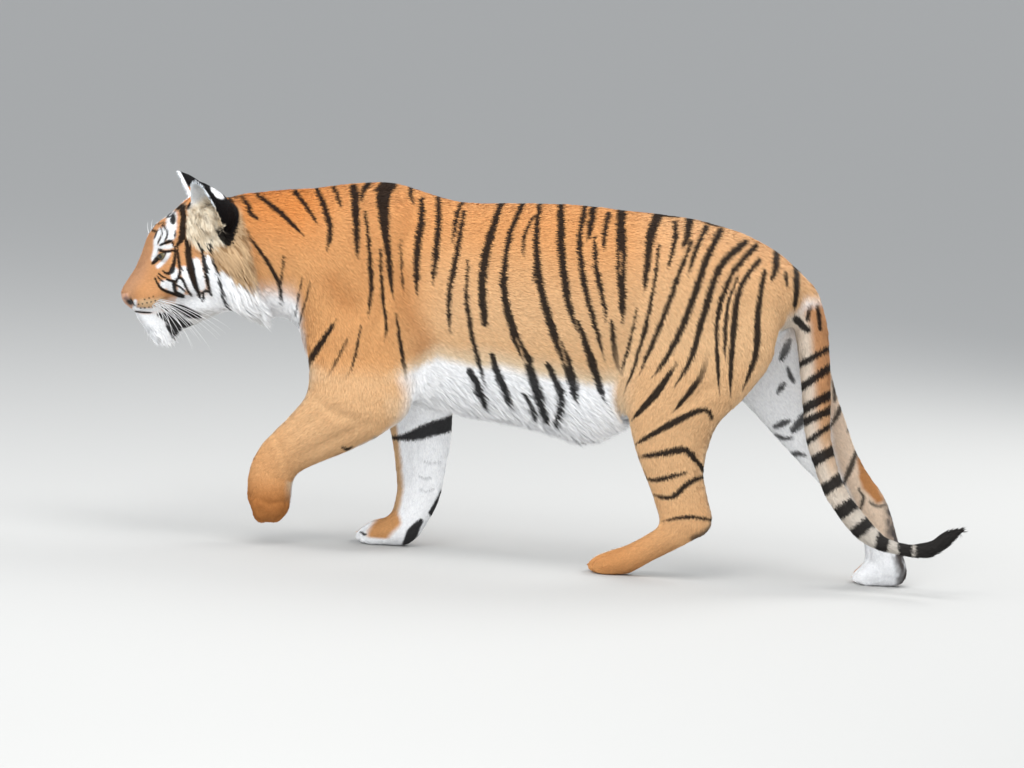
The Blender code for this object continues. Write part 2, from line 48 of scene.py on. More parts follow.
# ---- the body's own frame ----
# The head's frame: forward, left, up. The left eye's place in it ties this frame to the row's.
HEAD_CENTRE = np.array((-0.798, -0.030, 0.6467))
HEAD_TURN = math.radians(24.0)
HEAD_BOW = math.radians(27.0)
ahead = np.array((-math.cos(HEAD_TURN), -math.sin(HEAD_TURN), 0.0))
LEFT = np.array((math.sin(HEAD_TURN), -math.cos(HEAD_TURN), 0.0))
FORWARD = ahead * math.cos(HEAD_BOW) - np.array((0.0, 0.0, math.sin(HEAD_BOW)))
UP = ahead * math.sin(HEAD_BOW) + np.array((0.0, 0.0, math.cos(HEAD_BOW)))
AXES = np.stack((FORWARD, LEFT, UP))
EYE = np.array((0.1010, 0.0490, 0.0495))
EYE_RADIUS = 0.0178
UPRIGHT = (1.0, 0.0, 1.0)     # drops what lies sideways


def from_head(points):
    return HEAD_CENTRE + np.asarray(points) @ AXES


def to_head(points):
    return (points - HEAD_CENTRE) @ AXES.T


low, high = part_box("eye_left")
SHIFT = 0.5 * (np.array(low) + np.array(high)) - from_head(EYE)

# The side view in which the markings are laid out: seen a little from the front and above.
VIEW_TURN = math.radians(4.0)
VIEW_RISE = math.radians(6.0)
VIEW_ROLL = math.radians(4.5)
VIEW_GAP = 12.0
VIEW_AIM = np.array((-0.073, 0.0, 0.4025))
VIEW_BACK = np.array((math.sin(VIEW_TURN) * math.cos(VIEW_RISE), -math.cos(VIEW_TURN) * math.cos(VIEW_RISE),
                      math.sin(VIEW_RISE)))
VIEW_RIGHT = np.array((math.cos(VIEW_TURN), math.sin(VIEW_TURN), 0.0))
VIEW_UP = np.cross(VIEW_BACK, VIEW_RIGHT)


def seen(points, sides):
    """Where points with these sideways places stand in the side view; what is nearer looks larger."""
    away = np.stack((points[:, 0], sides, points[:, 2]), axis=1) - VIEW_AIM
    scale = VIEW_GAP / (VIEW_GAP - away @ VIEW_BACK)
    x = VIEW_AIM[0] + scale * (away @ VIEW_RIGHT)
    z = VIEW_AIM[2] * math.cos(VIEW_RISE) + scale * (away @ VIEW_UP)
    return np.stack((x, z), axis=1)


def levelled(pairs):
    """Points of the sloping ground's side view, turned level."""
    pairs = np.asarray(pairs, float)
    x = 0.0245 + pairs[:, 0] * math.cos(VIEW_ROLL) - pairs[:, 1] * math.sin(VIEW_ROLL)
    z = 0.0111 + pairs[:, 0] * math.sin(VIEW_ROLL) + pairs[:, 1] * math.cos(VIEW_ROLL)
    return np.stack((x, z), axis=1)


def smooth(low_edge, high_edge, value):
    t = np.clip((value - low_edge) / (high_edge - low_edge), 0.0, 1.0)
    return t * t * (3.0 - 2.0 * t)


def unit(vectors):
    return vectors / np.maximum(np.linalg.norm(vectors, axis=-1, keepdims=True), 1e-12)


def sizes(vectors):
    """The length of each row."""
    return np.linalg.norm(vectors, axis=1)


def noise(points, size, seed=0):
    """Soft random field from -1 to 1 whose bumps are about size across."""
    cells = points / size + 1000.0 + 17.3 * seed
    base = np.floor(cells).astype(np.int64)
    part = cells - base
    part = part * part * (3.0 - 2.0 * part)
    total = np.zeros(len(points))
    for corner in range(8):
        step = np.array((corner & 1, (corner >> 1) & 1, corner >> 2))
        key = base + step
        mixed = key[:, 0] * 374761393 + key[:, 1] * 668265263 + key[:, 2] * 2147483647 + seed * 974711
        mixed = (mixed ^ (mixed >> 13)) * 1274126177
        value = ((mixed ^ (mixed >> 16)) & 0xFFFF) / 32767.5 - 1.0
        weight = np.prod(np.where(step == 1, part, 1.0 - part), axis=1)
        total += weight * value
    return total


# ---- limbs: rows of x, z and radius, at one distance from the middle ----
def limb(side, rows):
    """An axis of points and its radii."""
    rows = np.asarray(rows, float)
    return np.stack((rows[:, 0], np.full(len(rows), side), rows[:, 1]), axis=1), rows[:, 2]


# They follow the middle of each leg from the body down to the toes.
LIMBS = {
    "foreleg_left": limb(-0.118, [(-0.415, 0.460, 0.105), (-0.410, 0.352, 0.100), (-0.455, 0.293, 0.085),
                                  (-0.513, 0.245, 0.068), (-0.565, 0.208, 0.056), (-0.598, 0.172, 0.052),
                                  (-0.602, 0.135, 0.053), (-0.600, 0.098, 0.053), (-0.597, 0.065, 0.050)]),
    "foreleg_right": limb(0.060, [(-0.375, 0.480, 0.100), (-0.320, 0.372, 0.096), (-0.288, 0.302, 0.075),
                                  (-0.277, 0.243, 0.067), (-0.273, 0.185, 0.060), (-0.272, 0.130, 0.055),
                                  (-0.280, 0.080, 0.050), (-0.310, 0.036, 0.048), (-0.360, 0.024, 0.050),
                                  (-0.405, 0.016, 0.045)]),
    "hindleg_left": limb(-0.100, [(0.350, 0.560, 0.150), (0.350, 0.480, 0.130), (0.327, 0.411, 0.118),
                                  (0.310, 0.358, 0.100), (0.309, 0.300, 0.085), (0.320, 0.243, 0.072),
                                  (0.336, 0.190, 0.064), (0.350, 0.145, 0.062), (0.335, 0.105, 0.055),
                                  (0.280, 0.066, 0.048), (0.235, 0.038, 0.048), (0.190, 0.022, 0.050),
                                  (0.150, 0.016, 0.045)]),
    "hindleg_right": limb(0.098, [(0.440, 0.575, 0.135), (0.511, 0.485, 0.125), (0.563, 0.418, 0.102),
                                  (0.611, 0.352, 0.088), (0.661, 0.285, 0.072), (0.715, 0.228, 0.060),
                                  (0.758, 0.190, 0.054), (0.786, 0.146, 0.050), (0.802, 0.102, 0.050),
                                  (0.818, 0.058, 0.052), (0.812, 0.030, 0.056), (0.750, 0.016, 0.045)]),
}
tail_rows = [(0.570, 0.655, 0.062), (0.602, 0.594, 0.046), (0.615, 0.522, 0.042), (0.626, 0.438, 0.039),
             (0.639, 0.342, 0.036), (0.666, 0.266, 0.034), (0.690, 0.217, 0.033), (0.725, 0.174, 0.032),
             (0.762, 0.138, 0.030), (0.800, 0.114, 0.027), (0.842, 0.104, 0.025), (0.882, 0.102, 0.025),
             (0.918, 0.110, 0.027), (0.954, 0.140, 0.024), (0.988, 0.164, 0.014)]
tail_axis, tail_radii = limb(-0.020, tail_rows)
tail_axis[:, 1] = np.interp(tail_axis[:, 0], (0.57, 0.66, 0.75), (0.0, -0.024, -0.030))
TAIL = (tail_axis, tail_radii)


def along(points, axis, reach=1.6):
    """How far along an axis points lie (0 to 1), how far from it in radii, and its direction."""
    nodes, radii = axis
    steps = sizes(np.diff(nodes, axis=0))
    run = np.concatenate(((0.0,), np.cumsum(steps)))
    best = np.full(len(points), 99.0)
    place = np.zeros(len(points))
    heading = np.zeros((len(points), 3))
    offset = np.zeros((len(points), 3))
    margin = reach * radii.max()
    near = np.all((points > nodes.min(0) - margin) & (points < nodes.max(0) + margin), axis=1)
    index = np.nonzero(near)[0]
    sub = points[index]
    for k in range(len(nodes) - 1):
        span = nodes[k + 1] - nodes[k]
        t = np.clip((sub - nodes[k]) @ span / (span @ span), 0.0, 1.0)
        away = sub - nodes[k] - t[:, None] * span
        rel = sizes(away) / (radii[k] + t * (radii[k + 1] - radii[k]))
        closer = rel < best[index]
        where = index[closer]
        best[where] = rel[closer]
        place[where] = (run[k] + t[closer] * steps[k]) / run[-1]
        heading[where] = span / steps[k]
        offset[where] = away[closer]
    return place, best, heading, offset


def head_depth(points):
    """How far in front of the plane behind the ears and ruff, in metres; the lifted leg isn't counted."""
    turn = 0.5 * HEAD_TURN
    normal = np.array((-math.cos(turn) * math.cos(0.28), -math.sin(turn) * math.cos(0.28), -math.sin(0.28)))
    depth = (points - np.array((-0.700, -0.014, 0.660))) @ normal
    return np.where(points[:, 2] > 0.405, depth, -1.0)


# ---- skin: all the flesh as one closed surface ----
def arrays(mesh):
    """Vertices and triangles of a mesh."""
    mesh.calc_loop_triangles()
    spots = np.empty(len(mesh.vertices) * 3, np.float32)
    mesh.vertices.foreach_get("co", spots)
    corners = np.empty(len(mesh.loop_triangles) * 3, np.int32)
    mesh.loop_triangles.foreach_get("vertices", corners)
    return spots.reshape(-1, 3).astype(float), corners.reshape(-1, 3)


def fresh(name, mesh):
    """An object of this mesh in the scene."""
    made = bpy.data.objects.new(name, mesh)
    bpy.context.scene.collection.objects.link(made)
    return made


def worked(made, steps):
    """The mesh of an object after a row of modifiers."""
    for kind, values in steps:
        step = made.modifiers.new(kind.lower(), kind)
        for key, value in values.items():
            setattr(step, key, value)
    bpy.context.view_layer.update()
    graph = bpy.context.evaluated_depsgraph_get()
    mesh = bpy.data.meshes.new_from_object(made.evaluated_get(graph))
    bpy.data.objects.remove(made, do_unlink=True)
    return mesh


joined = bmesh.new()
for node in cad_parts.values():
    joined.from_mesh(node.data)
whole = bpy.data.meshes.new("whole")
joined.to_mesh(whole)
joined.free()
GRAIN = 0.0052
rough = worked(fresh("rough", whole), [("REMESH", {"mode": "VOXEL", "voxel_size": GRAIN})])
rough.transform(Matrix.Translation(-Vector(SHIFT)))


SIDES = (1.0, -1.0)     # left, right
# The middle of each ear in the head's frame, and how far it leans towards the brow.
EARS = {1.0: ((-0.019, 0.078, 0.103), math.radians(12.0)),
        -1.0: ((-0.030, -0.078, 0.100), math.radians(7.0))}
EAR_TURN = math.radians(14.0)
EAR_SPLAY = math.radians(8.0)
EAR_RADII = np.array((0.084, 0.064, 0.089))
EAR_TAPER = (0.60, 0.28)


def ear_axes(side):
    """Columns: out of the ear's mouth, across it, towards its tip, in the head's frame."""
    turn = Matrix.Rotation(side * EAR_TURN, 3, "Z") @ Matrix.Rotation(EARS[side][1], 3, "Y")
    return np.array(turn @ Matrix.Rotation(-side * EAR_SPLAY, 3, "X"))


def ear_reach(head_local, side):
    """Place in an ear's own axes, 1 at its outer surface."""
    place = (head_local - np.array(EARS[side][0])) @ ear_axes(side) / EAR_RADII
    rise = 0.5 * (np.clip(place[:, 2], -1.0, 1.0) + 1.0)
    place[:, 0] /= 1.0 - EAR_TAPER[0] * rise
    place[:, 1] /= 1.0 - EAR_TAPER[1] * rise
    return place


def ear_part(head_local):
    """1 on the ears, 0 on the rest."""
    part = np.zeros(len(head_local))
    for side in SIDES:
        place = ear_reach(head_local, side)
        size = sizes(place)
        part = np.maximum(part, (1.0 - smooth(1.08, 1.22, size)) * smooth(-0.75, -0.45, place[:, 2]))
    return part


def ear_mouth(head_local):
    """1 in the lower half of an ear's hollow, which long pale hair crosses."""
    part = np.zeros(len(head_local))
    for side in SIDES:
        place = ear_reach(head_local, side)
        size = sizes(place)
        hollow = smooth(0.00, 0.20, place[:, 0]) * smooth(0.40, 0.0, place[:, 2])
        hollow *= 1.0 - smooth(1.05, 1.15, size)
        part = np.maximum(part, hollow)
    return part


# Ball of each paw, the way its toes point, and how far its outer toes stand from its middle.
PAWS = [((-0.612, -0.118, 0.080), (-0.10, 0.0, -1.0), 0.036),
        ((-0.383, 0.055, 0.0175), (-1.0, 0.0, -0.14), 0.036),
        ((0.166, -0.100, 0.0175), (-1.0, 0.0, -0.14), 0.034),
        ((0.768, 0.098, 0.0175), (-1.0, 0.0, -0.14), 0.034)]
TOE_CLEFT_WIDTH = 0.0034
TOE_CLEFT_DEPTH = 0.0042


def toe_reach(spots):
    """How deep in a cleft between two toes, 0 to 1, and how near a paw's toes, 0 to 1."""
    cleft = np.zeros(len(spots))
    toed = np.zeros(len(spots))
    for ball, reach, spread in PAWS:
        away = spots - np.array(ball)
        forth = away @ unit(np.array(reach))
        around = (1.0 - smooth(0.075, 0.095, sizes(away))) * smooth(-0.050, -0.015, forth)
        toed = np.maximum(toed, around)
        for gap in (-0.67, 0.0, 0.67):
            cleft = np.maximum(cleft, around * np.exp(-((away[:, 1] - gap * spread) / TOE_CLEFT_WIDTH) ** 2))
    return cleft, toed


# finer where the face needs it
fine = bmesh.new()
fine.from_mesh(rough)
fine.edges.ensure_lookup_table()
middles = np.array([tuple(0.5 * (edge.verts[0].co + edge.verts[1].co)) for edge in fine.edges])
local = to_head(middles)
eye_gap = sizes(local * UPRIGHT - EYE * UPRIGHT)
chosen = (head_depth(middles) > 0.0) & ((eye_gap < 0.034) & (np.abs(local[:, 1]) > 0.02)
                                        | (local[:, 0] > 0.150) | (ear_part(local) > 0.5)
                                        | ((local[:, 0] > 0.08) & (np.abs(local[:, 2] + 0.058) < 0.02)))
chosen |= toe_reach(middles)[1] > 0.3
bmesh.ops.subdivide_edges(fine, edges=[edge for edge, take in zip(fine.edges, chosen) if take],
                          cuts=1, use_grid_fill=True)
bmesh.ops.triangulate(fine, faces=fine.faces)
fine.to_mesh(rough)
fine.free()
points, triangles = arrays(rough)

pairs = np.concatenate((triangles[:, (0, 1)], triangles[:, (1, 2)], triangles[:, (2, 0)]))
pairs = np.unique(np.sort(pairs, axis=1), axis=0)
ends = np.concatenate((pairs[:, 0], pairs[:, 1]))
others = np.concatenate((pairs[:, 1], pairs[:, 0]))
valence = np.bincount(ends, minlength=len(points)).astype(float)


def mean_of_neighbours(values):
    if values.ndim == 1:
        return np.bincount(ends, values[others], len(valence)) / valence
    return np.stack([np.bincount(ends, values[others, k], len(valence)) for k in range(values.shape[1])],
                    axis=1) / valence[:, None]


def relaxed(values, rounds, strength):
    """Values evened out with their neighbours; strength is one number or one for each."""
    for _ in range(rounds):
        values = values + strength * (mean_of_neighbours(values) - values)
    return values


def normals_of(spots):
    a, b, c = (spots[triangles[:, k]] for k in range(3))
    faces = np.cross(b - a, c - a)
    total = np.stack([sum(np.bincount(triangles[:, k], faces[:, axis], len(spots)) for k in range(3))
                      for axis in range(3)], axis=1)
    return unit(total)


depth = head_depth(points)
on_head = smooth(-0.01, 0.03, depth)
on_ear = ear_part(to_head(points))
tail_place, tail_rel, _, _ = along(points, TAIL)
on_tail = (1.0 - smooth(1.25, 1.5, tail_rel)) * smooth(0.02, 0.08, tail_place)
cleft, on_toes = toe_reach(points)
soft = 0.5 * (1.0 - 0.65 * on_head) * (1.0 - 0.7 * on_ear) * (1.0 - 0.6 * on_tail) * (1.0 - 0.85 * on_toes)
points = relaxed(points, 26, soft[:, None])
normals = normals_of(points)
cleft, on_toes = toe_reach(points)
upper_side = smooth(-0.6, 0.0, normals[:, 2] + 0.6 * (points[:, 0] < -0.5))
points = points - normals * (TOE_CLEFT_DEPTH * cleft * upper_side)[:, None]
normals = normals_of(points)

# ---- face: lids, nostrils, mouth ----
GAZE_OUT = math.radians(36.0)
LID_SLANT = math.radians(16.0)
OPENING_LENGTH = 0.92     # half length of the lid opening, in radians seen from the middle of the ball
LID_THICKNESS = 0.0022
UPPER_LID = 0.23
LOWER_LID = 0.40


def eye_axes(side):
    """Gaze, long axis of the lids towards the outer corner, and up, in the head's frame."""
    gaze = np.array((math.cos(GAZE_OUT), side * math.sin(GAZE_OUT), 0.04))
    gaze /= np.linalg.norm(gaze)
    outward = np.array((-math.sin(GAZE_OUT), side * math.cos(GAZE_OUT), 0.0))
    lift = np.cross(gaze, outward) * side
    long_axis = outward * math.cos(LID_SLANT) + lift * math.sin(LID_SLANT)
    return gaze, long_axis, lift * math.cos(LID_SLANT) - outward * math.sin(LID_SLANT)


def lid_place(local, side):
    """Below 1 inside the opening between the lids; also the distance from the ball's middle."""
    gaze, long_axis, lift = eye_axes(side)
    away = local - EYE * (1.0, side, 1.0)
    size = sizes(away)
    ray = away / np.maximum(size, 1e-6)[:, None]
    a = np.arctan2(ray @ long_axis, ray @ gaze)
    b = np.arcsin(np.clip(ray @ lift, -1.0, 1.0))
    edge = np.abs(b) / np.where(b > 0.0, UPPER_LID, LOWER_LID) + (a / OPENING_LENGTH) ** 2
    return np.where(ray @ gaze > -0.2, edge, 9.0), size, ray


def line_gap(spots, route):
    """Distance to a line of points, and the place along it from 0 to 1."""
    route = np.asarray(route, float)
    steps = sizes(np.diff(route, axis=0))
    run = np.concatenate(((0.0,), np.cumsum(steps)))
    gap = np.full(len(spots), 9.0)
    place = np.zeros(len(spots))
    for k in range(len(route) - 1):
        span = route[k + 1] - route[k]
        t = np.clip((spots - route[k]) @ span / max(span @ span, 1e-12), 0.0, 1.0)
        away = sizes(spots - route[k] - t[:, None] * span)
        closer = away < gap
        gap = np.where(closer, away, gap)
        place = np.where(closer, (run[k] + t * steps[k]) / run[-1], place)
    return gap, place


MOUTH = [(0.210, 0.0, -0.050), (0.200, 0.020, -0.056), (0.178, 0.037, -0.060), (0.155, 0.044, -0.058),
         (0.140, 0.048, -0.050)]
NOSTRIL = np.array((0.2120, 0.0155, -0.0265))


def dimple(places, shift, radii):
    """1 at a place beside the nostril, falling off within these radii."""
    away = (places - NOSTRIL - shift) / radii
    return np.exp(-np.sum(away ** 2, axis=1))


local = to_head(points)
face = np.nonzero(depth > 0.04)[0]
near = local[face]
for side in SIDES:
    edge, size, ray = lid_place(near, side)
    here = (size < 0.036) & (edge < 3.2)
    hug = 1.0 - smooth(1.7, 3.0, edge)
    lid = EYE_RADIUS + LID_THICKNESS
    wanted = size + hug * (lid - size)
    wanted = np.maximum(wanted, np.where(edge < 3.0, lid, size))
    inside = 1.0 - smooth(0.86, 1.06, edge)
    wanted = wanted + inside * (EYE_RADIUS - 0.0040 - wanted)
    middle = EYE * (1.0, side, 1.0)
    near[here] = (middle + ray * wanted[:, None])[here]
points[face] = from_head(near)
normals = normals_of(points)

mirrored = near * UPRIGHT + np.abs(near[:, 1:2]) * (0.0, 1.0, 0.0)
gap, _ = line_gap(mirrored, MOUTH)
dent = 0.0042 * np.exp(-(gap / 0.0030) ** 2)
above = near[:, 2] > np.interp(near[:, 0], (0.14, 0.155, 0.178, 0.20), (-0.050, -0.058, -0.060, -0.056))
dent -= 0.0016 * above * np.exp(-((gap - 0.006) / 0.005) ** 2)
lip_cleft = 0.0022 * np.exp(-(near[:, 1] / 0.0022) ** 2) * smooth(0.195, 0.203, near[:, 0])
dent += lip_cleft * (near[:, 2] < -0.030)
dent += 0.0080 * dimple(mirrored, (0.0, 0.0, 0.0), (0.0100, 0.0062, 0.0066))
dent += 0.0050 * dimple(mirrored, (-0.007, 0.008, 0.001), (0.0080, 0.0050, 0.0080))
points[face] -= normals[face] * dent[:, None]

# ---- hollows and folds of the body, in the levelled side view: width, depth, route ----
FOLDS = [
    (0.030, 0.0060, [(-0.375, 0.620), (-0.385, 0.550), (-0.400, 0.480)]),
    (0.034, 0.0040, [(-0.505, 0.640), (-0.470, 0.560), (-0.430, 0.500)]),
    (0.030, 0.0070, [(-0.285, 0.470), (-0.285, 0.420), (-0.290, 0.370)]),
    (0.050, 0.0060, [(0.225, 0.690), (0.200, 0.600), (0.190, 0.510), (0.185, 0.430)]),
    (0.030, 0.0050, [(0.395, 0.440), (0.345, 0.400), (0.290, 0.350)]),
    (0.026, 0.0060, [(0.370, 0.300), (0.375, 0.250), (0.382, 0.200)]),
    (0.026, 0.0040, [(-0.520, 0.330), (-0.470, 0.300), (-0.400, 0.290)]),
    (0.040, 0.0035, [(-0.600, 0.640), (-0.590, 0.580), (-0.570, 0.520)]),
    (0.030, 0.0040, [(-0.330, 0.800), (-0.335, 0.740), (-0.345, 0.680)]),
    (0.030, 0.0035, [(0.440, 0.700), (0.400, 0.640), (0.380, 0.560)]),
    (0.022, 0.0045, [(-0.390, 0.290), (-0.460, 0.247), (-0.550, 0.192)]),
    (0.020, 0.0035, [(-0.470, 0.320), (-0.540, 0.270), (-0.600, 0.205)]),
    (0.018, 0.0035, [(-0.604, 0.240), (-0.588, 0.205), (-0.578, 0.165)]),
    (0.016, 0.0030, [(-0.655, 0.098), (-0.610, 0.084), (-0.562, 0.092)]),
    (0.018, 0.0040, [(-0.265, 0.230), (-0.262, 0.180), (-0.258, 0.120)]),
    (0.018, 0.0030, [(0.300, 0.235), (0.318, 0.190), (0.330, 0.140)]),
    (0.018, 0.0035, [(0.735, 0.255), (0.765, 0.215), (0.790, 0.150)]),
]
away_from_middle = smooth(0.035, 0.075, np.abs(points[:, 1]))
both = seen(points, -np.abs(points[:, 1]))
hollow = np.zeros(len(points))
for width, deep, route in FOLDS:
    gap, place = line_gap(both, route)
    hollow += deep * np.exp(-(gap / (0.5 * width)) ** 2) * np.sin(np.pi * np.clip(place, 0.04, 0.96)) ** 0.5
points -= normals * (hollow * away_from_middle * (1.0 - on_head))[:, None]

# ---- coat: how long it is and how deep it lies ----
local = to_head(points)
half = np.abs(local[:, 1])
ruff = on_head * smooth(0.060, -0.010, local[:, 0]) * smooth(0.075, 0.0, local[:, 2])
ruff = ruff * smooth(0.045, 0.08, half)
under = smooth(0.46, 0.36, points[:, 2]) * smooth(-0.33, -0.20, points[:, 0])
under = under * smooth(0.24, 0.16, points[:, 0])


def hair_length(spots, head_local, bottom, ruffed, eared, tailed):
    """Length of the hair in metres at each place."""
    face_hair = np.interp(head_local[:, 0], (-0.10, 0.0, 0.06, 0.12, 0.17, 0.22),
                          (0.022, 0.017, 0.011, 0.0075, 0.0050, 0.0030))
    chin = smooth(-0.085, -0.115, head_local[:, 2]) * smooth(0.12, 0.16, head_local[:, 0])
    throat = smooth(-0.09, -0.13, head_local[:, 2]) * smooth(0.12, 0.05, head_local[:, 0])
    face_hair = face_hair + 0.020 * chin + 0.014 * throat + 0.026 * ruffed
    body = 0.0155 + 0.019 * bottom
    for axis in LIMBS.values():
        t, rel, _, _ = along(spots, axis)
        inside = (1.0 - smooth(1.2, 1.5, rel)) * smooth(0.05, 0.35, t)
        short = np.interp(t, (0.0, 0.5, 0.8, 1.0), (0.0150, 0.0125, 0.0090, 0.0060))
        body = body + inside * (short - body)
    headed = smooth(-0.03, 0.04, head_depth(spots))
    length = body + headed * (face_hair - body)
    brush = smooth(0.90, 0.97, spots[:, 0])
    length = length + tailed * (0.0150 + 0.004 * brush - length)
    return length + eared * (0.0070 + 0.016 * ear_mouth(head_local) - length)


hair = hair_length(points, local, under, ruff, on_ear, on_tail)
COAT_SHARE = 0.24     # of the hair's length that the flat coat is deep
coat_depth = COAT_SHARE * hair
coat_depth = coat_depth * (1.0 - 0.75 * on_head * smooth(0.03, 0.10, local[:, 0]))
coat_depth = coat_depth * (1.0 - 0.9 * on_ear)
coat_depth = coat_depth * smooth(0.004, 0.016, points[:, 2])
coat_depth = relaxed(coat_depth, 6, 0.5)
normals = normals_of(points)
points = points - normals * coat_depth[:, None]
normals = normals_of(points)

# ---- markings ----
def tone(red, green, blue):
    """A colour as light, from its screen values."""
    value = np.array((red, green, blue)) / 255.0
    return np.where(value <= 0.04045, value / 12.92, ((value + 0.055) / 1.055) ** 2.4)


ORANGE = tone(208, 154, 101)
DEEP_ORANGE = tone(206, 132, 68)
TAN = tone(215, 177, 134)
CREAM = tone(226, 208, 178)
BUFF = tone(186, 156, 120)
WHITE = tone(249, 250, 252)
GREY_WHITE = tone(188, 186, 180)
# brown of the painted shade in the body's folds
FOLD_SHADE_BROWN = tone(172, 112, 62)
BLACK = tone(15, 13, 15)
SOOT = tone(44, 38, 40)
PINK = tone(190, 144, 116)

# Stripes: width at the start, in the middle and at the end, then the route in the sloping side view.
NECK = [
    ((.008, .009, .006), (-.69, .823), (-.674, .804), (-.67, .788), (-.648, .772)),
    ((.004, .008, .006), (-.683, .755), (-.666, .726), (-.627, .673), (-.602, .623), (-.598, .58)),
    ((.008, .010, .005), (-.654, .829), (-.604, .792), (-.563, .753), (-.546, .734)),
    ((.010, .009, .004), (-.566, .835), (-.535, .794), (-.514, .763)),
    ((.010, .012, .006), (-.518, .845), (-.502, .808), (-.485, .755), (-.493, .701)),
    ((.008, .007, .004), (-.477, .845), (-.466, .82), (-.46, .80)),
    ((.003, .004, .003), (-.592, .69), (-.600, .62), (-.592, .58)),
    ((.002, .003, .002), (-.55, .64), (-.567, .54)),
    ((.002, .003, .002), (-.53, .63), (-.56, .51)),
]
SHOULDER = [
    ((.018, .014, .006), (-.432, .843), (-.427, .808), (-.424, .726), (-.423, .685)),
    ((.014, .010, .006), (-.400, .855), (-.411, .833), (-.413, .812)),
    ((.004, .010, .006), (-.405, .79), (-.396, .706), (-.391, .615), (-.399, .549)),
    ((.034, .014, .008), (-.352, .853), (-.364, .829), (-.361, .759), (-.351, .681), (-.339, .59)),
    ((.008, .006, .004), (-.366, .857), (-.386, .835)),
    ((.004, .008, .005), (-.371, .706), (-.366, .615), (-.356, .533), (-.361, .496)),
    ((.004, .008, .004), (-.333, .558), (-.321, .467), (-.307, .377)),
    ((.002, .004, .003), (-.325, .726), (-.323, .681), (-.317, .611)),
    ((.010, .008, .004), (-.30, .85), (-.302, .829), (-.292, .806)),
    ((.010, .015, .009), (-.276, .819), (-.276, .775), (-.287, .689), (-.286, .599)),
    ((.010, .014, .008), (-.239, .823), (-.237, .767), (-.244, .681), (-.251, .623)),
    ((.010, .014, .005), (-.537, .435), (-.515, .475), (-.498, .50), (-.47, .545)),
    ((.003, .004, .002), (-.446, .50), (-.47, .45), (-.49, .415), (-.52, .397)),
    ((.003, .005, .002), (-.415, .53), (-.43, .45), (-.45, .41), (-.475, .39)),
]
FLANK = [
    ((.007, .009, .005), (-.181, .815), (-.193, .788), (-.206, .718)),
    ((.008, .012, .008), (-.179, .790), (-.195, .693), (-.213, .599), (-.21, .512)),
    ((.004, .010, .008), (-.169, .679), (-.172, .582), (-.154, .484), (-.129, .389)),
    ((.010, .020, .010), (-.165, .43), (-.145, .390), (-.129, .350)),
    ((.012, .019, .014), (-.093, .810), (-.124, .713), (-.137, .618), (-.130, .535)),
    ((.010, .017, .010), (-.113, .463), (-.103, .426), (-.087, .393), (-.072, .352)),
    ((.010, .014, .020), (-.043, .810), (-.074, .733), (-.087, .618), (-.062, .512), (-.030, .450)),
    ((.016, .022, .012), (-.034, .455), (-.015, .393), (.001, .347), (.012, .300)),
    ((.006, .010, .006), (-.042, .38), (-.02, .34), (-.028, .31)),
    ((.005, .007, .003), (-.017, .78), (-.04, .733), (-.042, .684)),
    ((.010, .015, .019), (-.005, .812), (-.012, .720), (-.004, .628), (.024, .524), (.057, .450)),
    ((.019, .022, .010), (.055, .455), (.069, .409), (.080, .360)),
    ((.003, .005, .003), (-.017, .672), (-.017, .627)),
    ((.014, .017, .010), (.044, .810), (.046, .700), (.061, .586), (.084, .515)),
    ((.010, .018, .012), (.014, .442), (.034, .400), (.044, .370), (.026, .304)),
    ((.010, .012, .008), (.10, .803), (.087, .720), (.100, .615), (.122, .536), (.145, .450)),
    ((.014, .014, .006), (.12, .803), (.114, .766), (.105, .722)),
    ((.006, .012, .006), (.122, .732), (.126, .660), (.145, .573), (.148, .538)),
    ((.010, .010, .005), (.155, .785), (.145, .746), (.143, .70)),
    ((.020, .021, .010), (.183, .800), (.183, .740), (.184, .640), (.187, .533)),
    ((.008, .018, .010), (.085, .538), (.110, .463), (.145, .358)),
    ((.008, .012, .008), (.161, .54), (.170, .463), (.181, .420)),
]
EYELETS = [
    (.003, (.182, .70), (.184, .65)),
    (.003, (-.055, .50), (-.037, .445)),
    (.003, (.040, .500), (.057, .440)),
]
HAUNCH = [
    ((.022, .016, .008), (.27, .790), (.249, .725), (.236, .602)),
    ((.005, .009, .005), (.27, .713), (.258, .610), (.227, .475), (.192, .376)),
    ((.004, .007, .004), (.221, .569), (.201, .483), (.182, .415)),
    ((.010, .009, .005), (.307, .765), (.307, .725), (.291, .66)),
    ((.018, .014, .008), (.34, .772), (.336, .738), (.326, .707)),
    ((.008, .011, .008), (.344, .721), (.312, .635), (.279, .545), (.246, .467), (.227, .418)),
    ((.012, .010, .006), (.377, .754), (.353, .697), (.336, .643)),
    ((.014, .014, .010), (.41, .746), (.377, .676), (.341, .570), (.295, .467), (.254, .409)),
    ((.014, .014, .009), (.467, .719), (.410, .664), (.373, .556), (.344, .454), (.307, .389)),
    ((.012, .010, .007), (.492, .712), (.434, .643), (.404, .536), (.408, .413), (.410, .372)),
    ((.004, .008, .005), (.451, .643), (.428, .569), (.422, .483), (.426, .450)),
    ((.010, .013, .008), (.500, .680), (.455, .610), (.439, .487), (.436, .368)),
    ((.008, .014, .008), (.512, .655), (.498, .563), (.493, .469), (.463, .384)),
    ((.012, .014, .006), (.538, .698), (.538, .663), (.526, .630)),
    ((.005, .007, .004), (.560, .652), (.563, .618)),
    ((.010, .014, .008), (.583, .668), (.586, .620), (.580, .566)),
    ((.006, .012, .005), (.230, .795), (.300, .782), (.330, .779)),
    ((.005, .010, .005), (.350, .776), (.400, .762), (.430, .752)),
]
